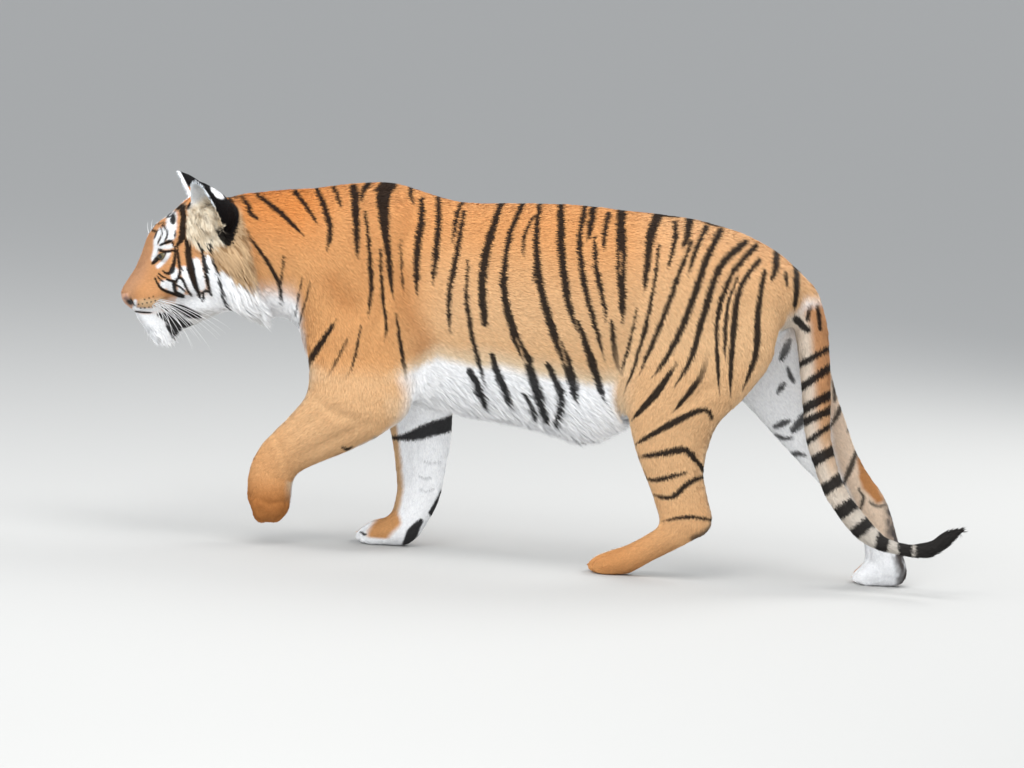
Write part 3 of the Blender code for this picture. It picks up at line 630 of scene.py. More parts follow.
NEAR_HIND = [
    ((.008, .012, .008), (.384, .473), (.364, .408), (.304, .333)),
    ((.008, .016, .008), (.312, .443), (.264, .373), (.209, .313)),
    ((.008, .015, .007), (.392, .320), (.376, .338), (.314, .313), (.214, .256)),
    ((.008, .015, .007), (.376, .192), (.334, .243), (.280, .237), (.224, .229)),
    ((.004, .010, .004), (.334, .193), (.264, .176), (.239, .184)),
    ((.008, .012, .005), (.376, .185), (.339, .169), (.300, .136), (.255, .143)),
    ((.004, .008, .003), (.396, .083), (.339, .091), (.279, .081)),
]
BANDS = [
    (.012, (.662, .480), (.588, .436)), (.016, (.664, .436), (.592, .382)),
    (.019, (.676, .380), (.594, .331)), (.017, (.672, .341), (.598, .305)),
    (.011, (.662, .300), (.612, .262)), (.015, (.585, .548), (.612, .522)),
    (.008, (.622, .620), (.618, .583), (.613, .546)), (.008, (.633, .576), (.641, .523)),
]

# Painted shade, brown, in the folds about the shoulder and elbow, in the levelled side view.
FOLD_SHADE_STROKES = [
    (.040, (-.345, .630), (-.325, .550), (-.275, .470)),
    (.030, (-.290, .470), (-.255, .450)),
    (.040, (-.500, .600), (-.470, .560)),
]
NEAR_HEEL = [(.014, (.414, .128), (.413, .112), (.398, .096), (.372, .080))]

# Marks of the right legs and the tail's end, in the levelled side view.
RIGHT_FORE = [
    ((.006, .030, .034), (-.338, .256), (-.300, .263), (-.250, .283), (-.206, .300)),
    ((.008, .018, .016), (-.216, .142), (-.220, .118), (-.232, .093)),
    ((.010, .024, .018), (-.258, .070), (-.272, .048), (-.286, .012)),
    ((.003, .006, .003), (-.392, .034), (-.385, .029), (-.380, .030)),
]
FAINT_FORE = [
    ((.002, .004, .002), (-.270, .173), (-.256, .169), (-.242, .171)),
    ((.001, .002, .001), (-.266, .208), (-.245, .205), (-.222, .210)),
    ((.001, .002, .001), (-.266, .144), (-.250, .140), (-.236, .144)),
]
FRONT_STRIP = [(.034, (-.348, .290), (-.336, .230), (-.327, .180), (-.322, .130), (-.330, .085))]
INSTEP = [(.044, (-.326, .066), (-.342, .048), (-.352, .030))]
FAR_HIND = [
    ((.012, .018, .010), (.553, .548), (.546, .525), (.540, .508)),
    ((.006, .012, .006), (.556, .488), (.564, .470), (.572, .458)),
    ((.006, .012, .006), (.552, .452), (.543, .440), (.537, .430)),
    ((.010, .020, .014), (.598, .382), (.592, .362), (.580, .348)),
    ((.008, .014, .008), (.568, .366), (.555, .360), (.538, .352)),
    ((.004, .008, .005), (.540, .334), (.560, .326), (.580, .330)),
    ((.005, .010, .006), (.570, .290), (.590, .293), (.612, .291)),
    ((.010, .009, .005), (.655, .500), (.664, .460), (.669, .420)),
    ((.006, .012, .006), (.690, .430), (.677, .390), (.662, .360)),
    ((.004, .007, .003), (.709, .390), (.706, .370), (.703, .352)),
    ((.007, .013, .007), (.727, .312), (.717, .270), (.702, .225)),
    ((.004, .007, .004), (.742, .225), (.752, .200), (.747, .172)),
    ((.003, .006, .003), (.768, .196), (.785, .187), (.802, .190)),
]
FAR_RIM = [
    ((.006, .012, .010), (.668, .480), (.690, .430), (.712, .370), (.735, .310)),
    ((.016, .034, .020), (.738, .292), (.757, .250), (.772, .222), (.788, .205)),
]
FAR_HEEL = [((.020, .044, .036), (.812, .205), (.822, .165), (.836, .120), (.858, .070), (.866, .010))]
LOW_BANDS = [
    (.024, (.672, .306), (.628, .274)), (.025, (.706, .252), (.656, .210)),
    (.028, (.736, .194), (.690, .156)), (.026, (.772, .150), (.734, .116)),
    (.029, (.806, .125), (.801, .080)), (.030, (.856, .112), (.859, .070)),
]

# Marks of the face, in the levelled side view.
FACE = [
    ((.006, .010, .009), (-.860, .752), (-.861, .735), (-.855, .720)),
    ((.006, .021, .004), (-.857, .746), (-.855, .720), (-.853, .694), (-.859, .670), (-.871, .652)),
    ((.004, .005, .009), (-.871, .654), (-.869, .630), (-.871, .606)),
    ((.008, .010, .003), (-.871, .612), (-.874, .598), (-.884, .589)),
    ((.004, .005, .003), (-.882, .578), (-.875, .576), (-.864, .576)),
    ((.003, .004, .006), (-.866, .645), (-.857, .607), (-.856, .590), (-.866, .567)),
    ((.008, .006, .008), (-.866, .570), (-.862, .553), (-.850, .546), (-.840, .540)),
    ((.004, .005, .003), (-.862, .580), (-.850, .583), (-.835, .558), (-.822, .543)),
    ((.003, .003, .002), (-.860, .567), (-.848, .561), (-.838, .552)),
    ((.003, .006, .006), (-.911, .578), (-.895, .556), (-.870, .548), (-.842, .541)),
    ((.002, .003, .002), (-.903, .590), (-.893, .583), (-.884, .582)),
    ((.002, .003, .002), (-.906, .584), (-.898, .576), (-.889, .572)),
    ((.002, .004, .003), (-.894, .597), (-.886, .592), (-.877, .596)),
    ((.012, .016, .005), (-.842, .672), (-.840, .645), (-.829, .600), (-.816, .566), (-.800, .536)),
    ((.002, .002, .002), (-.865, .655), (-.856, .615), (-.847, .598)),
    ((.002, .010, .004), (-.828, .681), (-.808, .650), (-.798, .615), (-.790, .580), (-.776, .545)),
    ((.003, .003, .002), (-.799, .592), (-.790, .588), (-.783, .580)),
    ((.036, .034, .012), (-.762, .706), (-.752, .690), (-.742, .670)),
    ((.003, .006, .003), (-.801, .553), (-.790, .560), (-.780, .555)),
    ((.003, .004, .002), (-.797, .558), (-.796, .545), (-.798, .532)),
    ((.003, .004, .009), (-.790, .674), (-.785, .645), (-.765, .590), (-.745, .540), (-.730, .505)),
    ((.002, .003, .002), (-.797, .664), (-.790, .650)),
    ((.003, .007, .008), (-.900, .718), (-.886, .733), (-.874, .736)),
    ((.008, .012, .006), (-.880, .724), (-.880, .714), (-.879, .703)),
    ((.004, .003, .002), (-.902, .700), (-.892, .688), (-.891, .675), (-.896, .664)),
    ((.002, .002, .002), (-.906, .694), (-.902, .680), (-.911, .656)),
    ((.002, .002, .002), (-.914, .686), (-.919, .668)),
    ((.003, .006, .003), (-.904, .655), (-.885, .665), (-.878, .664), (-.875, .655)),
    ((.004, .004, .005), (-.907, .644), (-.896, .641), (-.884, .642), (-.872, .646)),
    ((.006, .009, .004), (-.904, .631), (-.912, .620), (-.921, .609)),
    ((.001, .0015, .001), (-.874, .690), (-.873, .672)),
    ((.003, .004, .003), (-.870, .751), (-.862, .755), (-.852, .756)),
    ((.003, .005, .003), (-.850, .768), (-.843, .770), (-.838, .768)),
    ((.002, .003, .003), (-.776, .784), (-.750, .781), (-.715, .763), (-.703, .735)),
    ((.006, .008, .005), (-.755, .774), (-.748, .768), (-.743, .764)),
    ((.002, .003, .002), (-.948, .4985), (-.930, .498), (-.912, .499)),
]
# Black lip at each corner of the mouth, widened with painted shade under the cheek.
MOUTH_PATCH = [
    ((.008, .030, .012), (-.888, .514), (-.850, .509), (-.806, .501)),
    ((.008, .034, .012), (-.895, .496), (-.860, .487), (-.822, .477)),
    ((.006, .030, .012), (-.876, .473), (-.857, .464), (-.842, .450)),
]
FACE_WHITE = [
    (.011, (-.917, .622), (-.913, .645), (-.914, .665), (-.905, .688)),
    (.011, (-.898, .690), (-.898, .672), (-.903, .660)),
    (.022, (-.883, .724), (-.883, .700), (-.884, .678)),
    (.010, (-.905, .651), (-.888, .652), (-.881, .655)),
    (.008, (-.906, .606), (-.896, .616), (-.888, .628), (-.884, .638)),
    (.018, (-.888, .566), (-.876, .566), (-.871, .558)),
    (.016, (-.868, .598), (-.866, .586)),
    (.016, (-.852, .575), (-.848, .562), (-.850, .553)),
    (.014, (-.846, .604), (-.840, .585), (-.818, .550)),
    (.020, (-.820, .622), (-.812, .600), (-.804, .570)),
    (.020, (-.795, .630), (-.785, .605), (-.768, .560), (-.760, .515)),
    (.040, (-.760, .590), (-.735, .550), (-.720, .530)),
    (.044, (-.730, .570), (-.700, .550), (-.680, .535)),
    (.036, (-.840, .528), (-.800, .525), (-.770, .520)),
    (.007, (-.952, .522), (-.951, .507)),
    (.008, (-.954, .506), (-.940, .504), (-.915, .505), (-.900, .510)),
    (.014, (-.948, .490), (-.930, .486), (-.908, .488)),
    (.050, (-.905, .462), (-.888, .440), (-.875, .430)),
    (.060, (-.840, .450), (-.790, .470), (-.740, .480), (-.680, .500)),
]
FACE_PALE = [(.018, (-.936, .518), (-.922, .519), (-.905, .522), (-.892, .526))]
# Dots at the roots of the whiskers.
SPOTS = [(-.944, .516), (-.935, .518), (-.925, .521), (-.916, .524), (-.907, .527),
         (-.938, .508), (-.929, .509), (-.920, .511), (-.911, .513), (-.902, .516),
         (-.931, .528), (-.921, .532), (-.912, .536), (-.894, .519)]
BROW_GLEAM = [(.016, (-.878, .772), (-.868, .760), (-.862, .748))]
# Painted shade on the white fur under the cheek and jaw.
UNDER_CHEEK_SHADE = [(.05, (-.80, .49), (-.70, .50), (-.64, .53))]
ELBOW_BAR = [((.004, .006, .003), (-.450, .226), (-.440, .223), (-.430, .228))]
BODY_POINT = 0.16         # share of a body stripe that draws to a point
FACE_POINT = 0.10
POINTED_BELOW = 0.012     # strokes that end wider than this go on as another, so they keep their width


def strokes(spots, shapes, sloping=True, blur=0.0022, swell=0.0010, point=0.0):
    """How dark a set of stripes makes each place, from 0 to 1.

    A shape is its width, or its width at the start, in the middle and at the end, and then its route.
    Point is the share of a thin-ended stripe's length over which it draws to a point.
    """
    dark = np.zeros(len(spots))
    for shape in shapes:
        widths = shape[0] if isinstance(shape[0], tuple) else (shape[0],) * 3
        route = levelled(shape[1:]) if sloping else np.array(shape[1:])
        margin = max(widths) + 3.0 * blur
        inside = np.all((spots > route.min(0) - margin) & (spots < route.max(0) + margin), axis=1)
        index = np.nonzero(inside)[0]
        if not len(index):
            continue
        curve = [route[0]]
        last = len(route) - 1
        for k in range(last):
            before, start, end, after = (route[min(max(k + step, 0), last)] for step in (-1, 0, 1, 2))
            bend = 2 * before - 5 * start + 4 * end - after
            twist = 3 * start - before - 3 * end + after
            for t in (0.25, 0.5, 0.75, 1.0):
                curve.append(0.5 * (2 * start + (end - before) * t + bend * t ** 2 + twist * t ** 3))
        gap, place = line_gap(spots[index], curve)
        width = 1.05 * np.interp(place, (0.0, 0.5, 1.0), widths) + swell
        if point > 0.0 and widths[2] < POINTED_BELOW:
            width *= 0.22 + 0.78 * smooth(0.0, point, 1.0 - place)
        value = 1.0 - smooth(-blur, blur, gap - 0.5 * width)
        dark[index] = np.maximum(dark[index], value)
    return dark


def mix(base, colour, amount):
    """Towards a colour by an amount for each place; base is one colour or one for each place."""
    return base + (colour - base) * amount[:, None]


def leather_part(head_local):
    """1 on the bare leather of the nose, 0 on the fur."""
    half = np.abs(head_local[:, 1])
    f, u = head_local[:, 0], head_local[:, 2]
    front = smooth(0.0, 0.003, f - 0.2045 - 0.10 * (u + 0.02) + 0.10 * half)
    wide = np.interp(u, (-0.046, -0.034, -0.020, -0.004), (0.006, 0.020, 0.025, 0.020))
    within = smooth(0.002, -0.002, half - wide)
    return front * within * smooth(-0.048, -0.044, u) * smooth(-0.001, -0.006, u)


# Where the white of the belly begins: x, and height in the side view.
BELLY_EDGE_X = (-0.62, -0.56, -0.46, -0.36, -0.30, -0.24, -0.12, 0.0, 0.12, 0.18, 0.21, 0.26)
BELLY_EDGE_Z = (0.46, 0.40, 0.34, 0.345, 0.405, 0.445, 0.435, 0.425, 0.415, 0.42, 0.37, 0.30)
# Where the buff back of the right hind leg begins: height, and x.
HEEL_EDGE_Z = (0.05, 0.15, 0.20, 0.25, 0.30, 0.40, 0.50, 0.60)
HEEL_EDGE_X = (0.855, 0.745, 0.715, 0.690, 0.672, 0.650, 0.636, 0.610)
# Lines across the forehead: how far forward in the head, and how wide.
BROW_LINES = ((0.098, 0.0035), (0.076, 0.0035), (0.050, 0.007), (0.020, 0.010))


def trunk_paint(spots, facing, view):
    """Ground colour of neck and trunk, and how much each place lies beneath them."""
    x = spots[:, 0]
    half = np.abs(spots[:, 1])
    height = view[:, 1]
    deep = smooth(0.62, 0.78, height) * (0.30 + 0.60 * smooth(-0.46, -0.60, x))
    colour = mix(ORANGE, DEEP_ORANGE, deep + 0.10 * noise(spots, 0.09, 5))
    colour = mix(colour, TAN, smooth(0.76, 0.52, height) * 0.85 * smooth(-0.36, -0.20, x))
    colour = mix(colour, TAN, 0.55 * smooth(0.12, 0.30, x))
    # painted shade: the folds about the shoulder and elbow turned brown
    colour = mix(colour, FOLD_SHADE_BROWN, 0.52 * strokes(view, FOLD_SHADE_STROKES, False, 0.030))
    edge = np.interp(x, BELLY_EDGE_X, BELLY_EDGE_Z) + 0.010 * noise(spots, 0.05, 6)
    colour = mix(colour, CREAM, 0.75 * smooth(edge + 0.055, edge + 0.005, height))
    belly = smooth(edge + 0.018, edge - 0.012, height)
    breast = smooth(-0.44, -0.52, x) * smooth(0.070, 0.030, half) * smooth(0.66, 0.58, height)
    beneath = smooth(-0.1, -0.5, facing[:, 2]) * smooth(0.125, 0.085, half) * smooth(0.28, 0.24, x)
    seat = smooth(0.475, 0.52, x) * smooth(0.055, 0.035, half) * smooth(0.665, 0.625, height)
    throat = smooth(-0.56, -0.62, x) * smooth(0.60, 0.54, height)
    white = np.maximum.reduce((belly, 0.9 * breast, beneath, seat, throat))
    return mix(colour, WHITE, white), beneath


def waves(t, often, wander):
    """Bands along a limb, from 0 to 1."""
    return 0.5 + 0.5 * np.sin(t * often + wander)


def leg_paint(name, spots, t, offset, views):
    """Ground colour and bars of a leg: pale inside, its marks in the side views of the body."""
    body_view, view, true_view = views
    hind = name.startswith("hind")
    reach = np.maximum(sizes(offset), 1e-4)
    turned = offset[:, 1] * (1.0 if name.endswith("right") else -1.0) / reach
    forward = -offset[:, 0] / reach
    lean = 0.0 if hind else 0.25 * forward - 0.1
    medial = smooth(0.05, -0.45, turned + 0.12 * noise(spots, 0.04, 7) + lean)
    toes = smooth(0.90, 0.99, t)
    leg = mix(ORANGE, DEEP_ORANGE, 0.25 * smooth(0.65, 0.95, t))
    leg = mix(leg, TAN, 0.75 * smooth(0.95, 0.45, t))
    leg = mix(leg, CREAM, 0.75 * smooth(0.35, -0.25, turned))
    leg = mix(leg, CREAM, 0.65 * smooth(-0.72, -0.97, forward) * smooth(0.15, 0.30, t) * (not hind))
    leg = mix(leg, WHITE, medial * (1.0 - 0.5 * toes))
    if name == "foreleg_left":
        # browner low on the lifted paw's outer side: partly its own browner fur, partly painted shade of its
        # underside
        leg = mix(leg, tone(166, 108, 58), smooth(0.150, 0.080, view[:, 1]) * smooth(-0.2, 0.3, turned))
        wave = waves(t, 26.0, 1.5 * noise(spots, 0.05, 8))
        inside = medial * smooth(0.80, 0.93, wave) * smooth(0.15, 0.25, t) * smooth(0.85, 0.7, t)
        bars = np.maximum(strokes(view, ELBOW_BAR, False), inside)
    elif name == "foreleg_right":
        inner = smooth(0.35, -0.05, turned)
        leg = mix(leg, WHITE, inner)
        leg = mix(leg, TAN, inner * strokes(true_view, FRONT_STRIP, False, 0.006))
        leg = mix(leg, ORANGE, inner * strokes(true_view, INSTEP, False, 0.008))
        leg = mix(leg, WHITE, smooth(0.022, 0.014, spots[:, 2]))
        bars = strokes(true_view, RIGHT_FORE, False) * smooth(0.75, 0.45, turned)
        faint = 0.45 * strokes(true_view, FAINT_FORE, False, 0.003) * smooth(0.3, 0.0, turned)
        bars = np.maximum(bars, faint)
    elif name == "hindleg_left":
        leg = mix(leg, SOOT, 0.8 * strokes(view, NEAR_HEEL, False, 0.006))
        bars = strokes(body_view, HAUNCH + NEAR_HIND, point=BODY_POINT)
        wave = waves(t, 40.0, 2.0 * noise(spots, 0.06, 9))
        bars = np.where(turned < -0.2, medial * smooth(0.72, 0.9, wave) * smooth(0.2, 0.3, t), bars)
    else:
        inner = smooth(0.35, -0.05, turned)
        heel = np.interp(view[:, 1], HEEL_EDGE_Z, HEEL_EDGE_X)
        buff = smooth(heel - 0.012, heel + 0.012, true_view[:, 0]) * smooth(0.06, 0.10, view[:, 1])
        leg = mix(leg, WHITE, inner)
        leg = mix(leg, tone(214, 192, 170), inner * buff)
        leg = mix(leg, tone(176, 122, 74), strokes(true_view, FAR_RIM, False, 0.006))
        dusk = strokes(true_view, FAR_HEEL, False, 0.010) * smooth(-1.1, 0.1, noise(spots, 0.012, 12))
        leg = mix(leg, tone(84, 78, 76), dusk)
        wave = 0.5 + 0.5 * np.sin(t * 44.0 + 2.2 * noise(spots, 0.07, 10) + 2.0 * forward)
        outer = smooth(0.72, 0.90, wave) * smooth(0.2, 0.5, turned) * smooth(0.9, 0.8, t)
        bars = np.maximum(outer, 0.94 * inner * strokes(true_view, FAR_HIND, False, 0.0035))
    if name.endswith("left"):
        bars = bars * (1.0 - 0.9 * toes)
    return leg, bars


def tail_paint(spots, t, offset, tail_view):
    """Ground colour of the tail, browner on its outer side, partly its own colour and partly painted shade,
    and its black bands and tip.
    """
    outer = offset[:, 0] / np.maximum(sizes(offset), 1e-4)
    ground = mix(tone(214, 200, 184), TAN, smooth(-0.2, 0.45, outer) * smooth(0.62, 0.30, t))
    # browner still on the upper outer side: partly the tail's own colour, partly painted shade
    ground = mix(ground, tone(178, 126, 84), smooth(-0.45, 0.30, outer) * smooth(0.55, 0.20, t) * 0.9)
    ground = mix(ground, GREY_WHITE, 0.6 * smooth(0.45, 0.8, t))
    bands = np.maximum(strokes(tail_view, BANDS), strokes(tail_view, LOW_BANDS, False))
    flecks = smooth(0.1, 0.5, noise(spots, 0.007, 18)) * smooth(0.90, 0.88, tail_view[:, 0])
    tip = smooth(0.878, 0.884, tail_view[:, 0]) * (1.0 - 0.7 * flecks)
    return ground, np.maximum(bands, tip)


def ear_paint(s, place, backs, spot_true, fray):
    """Pale streaked fur inside an ear, with painted shade deep in its hollow, black behind with a white
    spot.
    """
    streak = np.stack((place[:, 0], 0.25 * place[:, 1], place[:, 2] + 0.5 * s * place[:, 1]), axis=1)
    inner = mix(tone(206, 186, 156), tone(240, 230, 210), 0.5 + 0.5 * noise(streak, 0.08, 30))
    inner = mix(inner, tone(142, 124, 104), 0.55 * smooth(0.2, 0.6, noise(streak, 0.07, 31)))
    inner = mix(inner, tone(238, 242, 246), smooth(0.05, 0.30, place[:, 2]))
    # painted shade low at the back of the ear's hollow
    painted_shading = 0.6 * smooth(0.05, -0.3, place[:, 0]) * smooth(0.10, -0.1, place[:, 2])
    shell = mix(mix(inner, tone(150, 132, 116), painted_shading), BLACK, backs)
    if s < 0.0:
        rim = spot_true[:, 0] + 0.880 + 0.60 * (spot_true[:, 1] - 0.828)
        before = backs * smooth(0.0175, 0.0145, rim)
        shell = mix(shell, tone(206, 140, 76), before * smooth(0.796, 0.790, spot_true[:, 1]))
        shell = mix(shell, WHITE, backs * smooth(0.0095, 0.0070, rim))
    dot = sizes((place - (-0.62, 0.45 * s, 0.34)) / (0.44, 0.44, 0.24))
    return mix(shell, WHITE, backs * (1.0 - smooth(0.85, 1.05, dot + 0.12 * fray)))


def face_marks(local, folded, spot, shelled):
    """How black the marks of the face, the mouth and the rims of the eyes are."""
    f, half, u = folded.T
    marks = strokes(spot, FACE, False, 0.0012, 0.0014, FACE_POINT)
    # the mouth's corner: black lip, partly painted shade under the cheek
    marks = np.maximum(marks, strokes(spot, MOUTH_PATCH, False, 0.003) * smooth(0.020, 0.030, half))
    for place in SPOTS:
        gap = sizes(spot - np.array(place))
        marks = np.maximum(marks, 0.92 * (1.0 - smooth(0.0011, 0.0026, gap)) * (half > 0.012))
    for k, (where, width) in enumerate(BROW_LINES):
        bow = where - 0.35 * half - 6.0 * half ** 2 + 0.004 * noise(local, 0.02, 17 + k)
        thin = 0.5 * width * (1.0 - np.minimum(half / 0.030, 1.0) ** 2)
        line = 1.0 - smooth(0.0, 0.0024, np.abs(f - bow) - thin)
        marks = np.maximum(marks, line * smooth(0.030, 0.018, half) * (u > 0.05))
    mouth_gap, _ = line_gap(folded, MOUTH)
    marks = np.maximum(marks * (1.0 - shelled), 1.0 - smooth(0.0014, 0.0030, mouth_gap))
    for s in SIDES:
        edge_gap, size, _ = lid_place(local, s)
        marks = np.maximum(marks, (1.0 - smooth(1.20, 1.42, edge_gap)) * (size < 0.03))
    return marks


def head_paint(spots, facing):
    """The colour of the head, its ears, marks and nose."""
    local = to_head(spots)
    turned = facing @ AXES.T
    f, u = local[:, 0], local[:, 2]
    half = np.abs(local[:, 1])
    folded = np.stack((f, half, u), axis=1)
    mirrored = from_head(folded)
    fray = noise(local, 0.007, 13)
    frayed = 0.0013 * fray * smooth(0.02, -0.08, f - 0.05)
    drift = np.stack((noise(local, 0.05, 14), noise(local, 0.05, 15)), axis=1)
    spot = seen(mirrored, mirrored[:, 1]) + frayed[:, None]
    spot = spot + smooth(0.01, -0.03, local[:, 1])[:, None] * 0.004 * drift
    spot_true = seen(spots, spots[:, 1])

    head = mix(tone(212, 156, 106), CREAM, 0.7 * strokes(spot, BROW_GLEAM, False, 0.006))
    head = mix(head, tone(204, 156, 118), smooth(0.08, 0.16, f) * smooth(0.03, 0.0, half - 0.02))
    head = mix(head, DEEP_ORANGE, 0.6 * smooth(0.06, 0.10, u) * smooth(0.03, -0.03, f))
    flecks = smooth(0.25, 0.6, noise(local * (1, 1, 0.4), 0.0055, 16))
    ruffed = smooth(0.050, 0.0, f) * smooth(0.09, 0.05, u) * smooth(0.03, 0.06, half)
    head = mix(head, mix(BUFF, tone(134, 100, 66), 0.8 * flecks), ruffed)
    low = u + 0.026 * smooth(0.03, -0.03, f) + 0.006 * noise(local, 0.012, 19)
    head = mix(head, WHITE, 0.92 * smooth(-0.040, -0.084, low))
    head = mix(head, tone(224, 190, 150), strokes(spot, FACE_PALE, False, 0.006))
    head = mix(head, WHITE, strokes(spot, FACE_WHITE, False, 0.0035))
    # painted shade: the white fur under the cheek turned grey
    head = mix(head, GREY_WHITE, 0.6 * strokes(spot, UNDER_CHEEK_SHADE, False, 0.01))

    shelled = np.zeros(len(spots))
    temple = smooth(-0.845, -0.851, spot[:, 0]) * smooth(0.748, 0.736, spot[:, 1])
    for s in SIDES:
        place = ear_reach(local, s)
        size = sizes(place)
        eared = (1.0 - smooth(1.04, 1.12, size)) * smooth(-0.86, -0.74, place[:, 2]) * (1.0 - temple)
        outward = np.sum(turned * unit(local - np.array(EARS[s][0])), axis=1)
        backs = smooth(0.60, 0.40, turned @ ear_axes(s)[:, 0]) * smooth(0.0, 0.15, outward)
        backs = backs * smooth(0.86, 0.90, size) * smooth(0.34, 0.24, place[:, 0])
        head = mix(head, ear_paint(s, place, backs, spot_true, fray), eared)
        shelled = np.maximum(shelled, eared * smooth(-0.50, -0.35, place[:, 2]))

    head = mix(head, BLACK, 0.97 * face_marks(local, folded, spot, shelled))
    leather = mix(PINK, tone(132, 100, 88), smooth(-0.2, 0.6, noise(local, 0.009, 32)))
    head = mix(head, leather, leather_part(local))
    # the nostrils painted black: painted shade inside their openings
    pit = dimple(folded, (-0.001, 0.0, 0.0), (0.013, 0.0078, 0.0086))
    slit = dimple(folded, (-0.007, 0.0085, 0.001), (0.0105, 0.0060, 0.0100))
    return mix(head, BLACK, np.clip(1.8 * np.maximum(pit, slit) - 0.1, 0.0, 1.0))


def paint(spots, facing):
    """The colour of the coat at places in the body's frame."""
    side = spots[:, 1]
    far = smooth(0.0, 0.10, side)
    headed = smooth(-0.004, 0.010, head_depth(spots))
    ragged = 0.0015 * noise(spots, 0.015, 1) + 0.0010 * noise(spots, 0.006, 2)
    wander = np.stack((noise(spots, 0.16, 3), noise(spots, 0.16, 4)), axis=1) * 0.022
    view = seen(spots, -np.abs(side))
    body_view = view + ragged[:, None] * (1.0, 0.4) + wander * far[:, None] + far[:, None] * (0.030, 0.0)
    true_view = seen(spots, side) + ragged[:, None]

    colour, beneath = trunk_paint(spots, facing, view)
    dark = strokes(body_view, NECK + SHOULDER + FLANK + HAUNCH, point=BODY_POINT)
    dark *= 1.0 - 0.7 * strokes(body_view, EYELETS)
    dark *= 1.0 - 0.8 * beneath * (np.abs(side) < 0.07)
    for name, axis in LIMBS.items():
        t, rel, _, offset = along(spots, axis)
        inside = (1.0 - smooth(1.25, 1.5, rel)) * smooth(0.02, 0.16, t)
        if inside.any():
            leg, bars = leg_paint(name, spots, t, offset, (body_view, view, true_view))
            colour = mix(colour, leg, inside)
            dark = dark + inside * (bars - dark)

    t, rel, _, offset = along(spots, TAIL)
    tailed = (1.0 - smooth(1.3, 1.55, rel)) * smooth(0.015, 0.05, t)
    ground, bands = tail_paint(spots, t, offset, seen(spots, side) + ragged[:, None] * 0.6)
    colour = mix(colour, ground, tailed)
    dark = dark + tailed * (bands - dark)

    on = np.nonzero(headed > 0.0)[0]
    colour[on] = mix(colour[on], head_paint(spots[on], facing[on]), headed[on])
    dark = dark * (1.0 - headed)
    return mix(colour, BLACK, 0.965 * np.clip(dark, 0.0, 1.0))


# ---- materials ----
def add_node(tree, kind, **values):
    """A new node with constants on its inputs, named with _ for a space."""
    made = tree.nodes.new("ShaderNode" + kind)
    for key, value in values.items():
        made.inputs[key.replace("_", " ")].default_value = value
    return made


def shaded(name, roughness, grain_scale, bump, tint=0.10, specular=0.3, stretch=(1.0, 1.0, 1.0)):
    """A surface whose colour comes from the painted markings, broken up by fine grain."""
    made = bpy.data.materials.new(name)
    made.use_nodes = True
    tree = made.node_tree
    shader = tree.nodes["Principled BSDF"]
    shader.inputs["Specular IOR Level"].default_value = specular
    painted = add_node(tree, "Attribute")
    painted.attribute_name = "coat"
    place = add_node(tree, "TexCoord")
    stretched = add_node(tree, "Mapping", Scale=stretch)
    grain = add_node(tree, "TexNoise", Scale=grain_scale, Detail=4.0)
    level = add_node(tree, "MapRange", To_Min=1.0 - tint, To_Max=1.0 + tint)
    rough = add_node(tree, "MapRange", To_Min=roughness - 0.08, To_Max=roughness + 0.08)
    tinted = add_node(tree, "VectorMath")
    tinted.operation = "SCALE"
    links = [(place, "Object", stretched, "Vector"), (stretched, "Vector", grain, "Vector"),
             (grain, "Fac", level, "Value"), (grain, "Fac", rough, "Value"),
             (painted, "Color", tinted, 0), (level, "Result", tinted, "Scale"),
             (tinted, "Vector", shader, "Base Color"), (rough, "Result", shader, "Roughness")]
    if bump > 0.0:
        relief = add_node(tree, "Bump", Strength=bump, Distance=0.0015)
        links += [(grain, "Fac", relief, "Height"), (relief, "Normal", shader, "Normal")]
    for source, output, target, socket in links:
        tree.links.new(source.outputs[output], target.inputs[socket])
    return made


skin_stuff = shaded("skin_coat", 0.82, 320.0, 0.5, 0.14, 0.12, stretch=(0.35, 1.0, 1.0))
leather_stuff = shaded("nose_leather_grain", 0.42, 900.0, 0.6, 0.12, 0.5)
hair_stuff = shaded("coat_hair", 0.72, 140.0, 0.0, 0.12, 0.12)
eye_stuff = shaded("eye_ball", 0.12, 300.0, 0.0, 0.10, 0.6)
whisker_stuff = shaded("whisker_horn", 0.40, 200.0, 0.0, 0.06, 0.4)


def colour_in(mesh, colours):
    """Give every vertex its painted colour."""
    layer = mesh.color_attributes.new("coat", "FLOAT_COLOR", "POINT")
    values = np.ones((len(colours), 4), np.float32)
    values[:, :3] = np.clip(colours, 0.0, 1.0)
    layer.data.foreach_set("color", values.ravel())


def solid(name, spots, faces, stuff, corner_uv=None):
    """A mesh piece in the row's frame from arrays of triangles or quads."""
    mesh = bpy.data.meshes.new(name)
    mesh.vertices.add(len(spots))
    mesh.vertices.foreach_set("co", (spots + SHIFT).astype(np.float32).ravel())
    size = faces.shape[1]
    mesh.loops.add(faces.size)
    mesh.loops.foreach_set("vertex_index", faces.astype(np.int32).ravel())
    mesh.polygons.add(len(faces))
    mesh.polygons.foreach_set("loop_start", np.arange(0, faces.size, size, dtype=np.int32))
    mesh.polygons.foreach_set("use_smooth", np.ones(len(faces), bool))
    mesh.update(calc_edges=True)
    for one in stuff:
        mesh.materials.append(one)
    if corner_uv is not None:
        layer = mesh.uv_layers.new(name="OFBake")
        layer.data.foreach_set("uv", corner_uv.astype(np.float32).ravel())
    made = fresh(name, mesh)
    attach(made, "root")
    return made


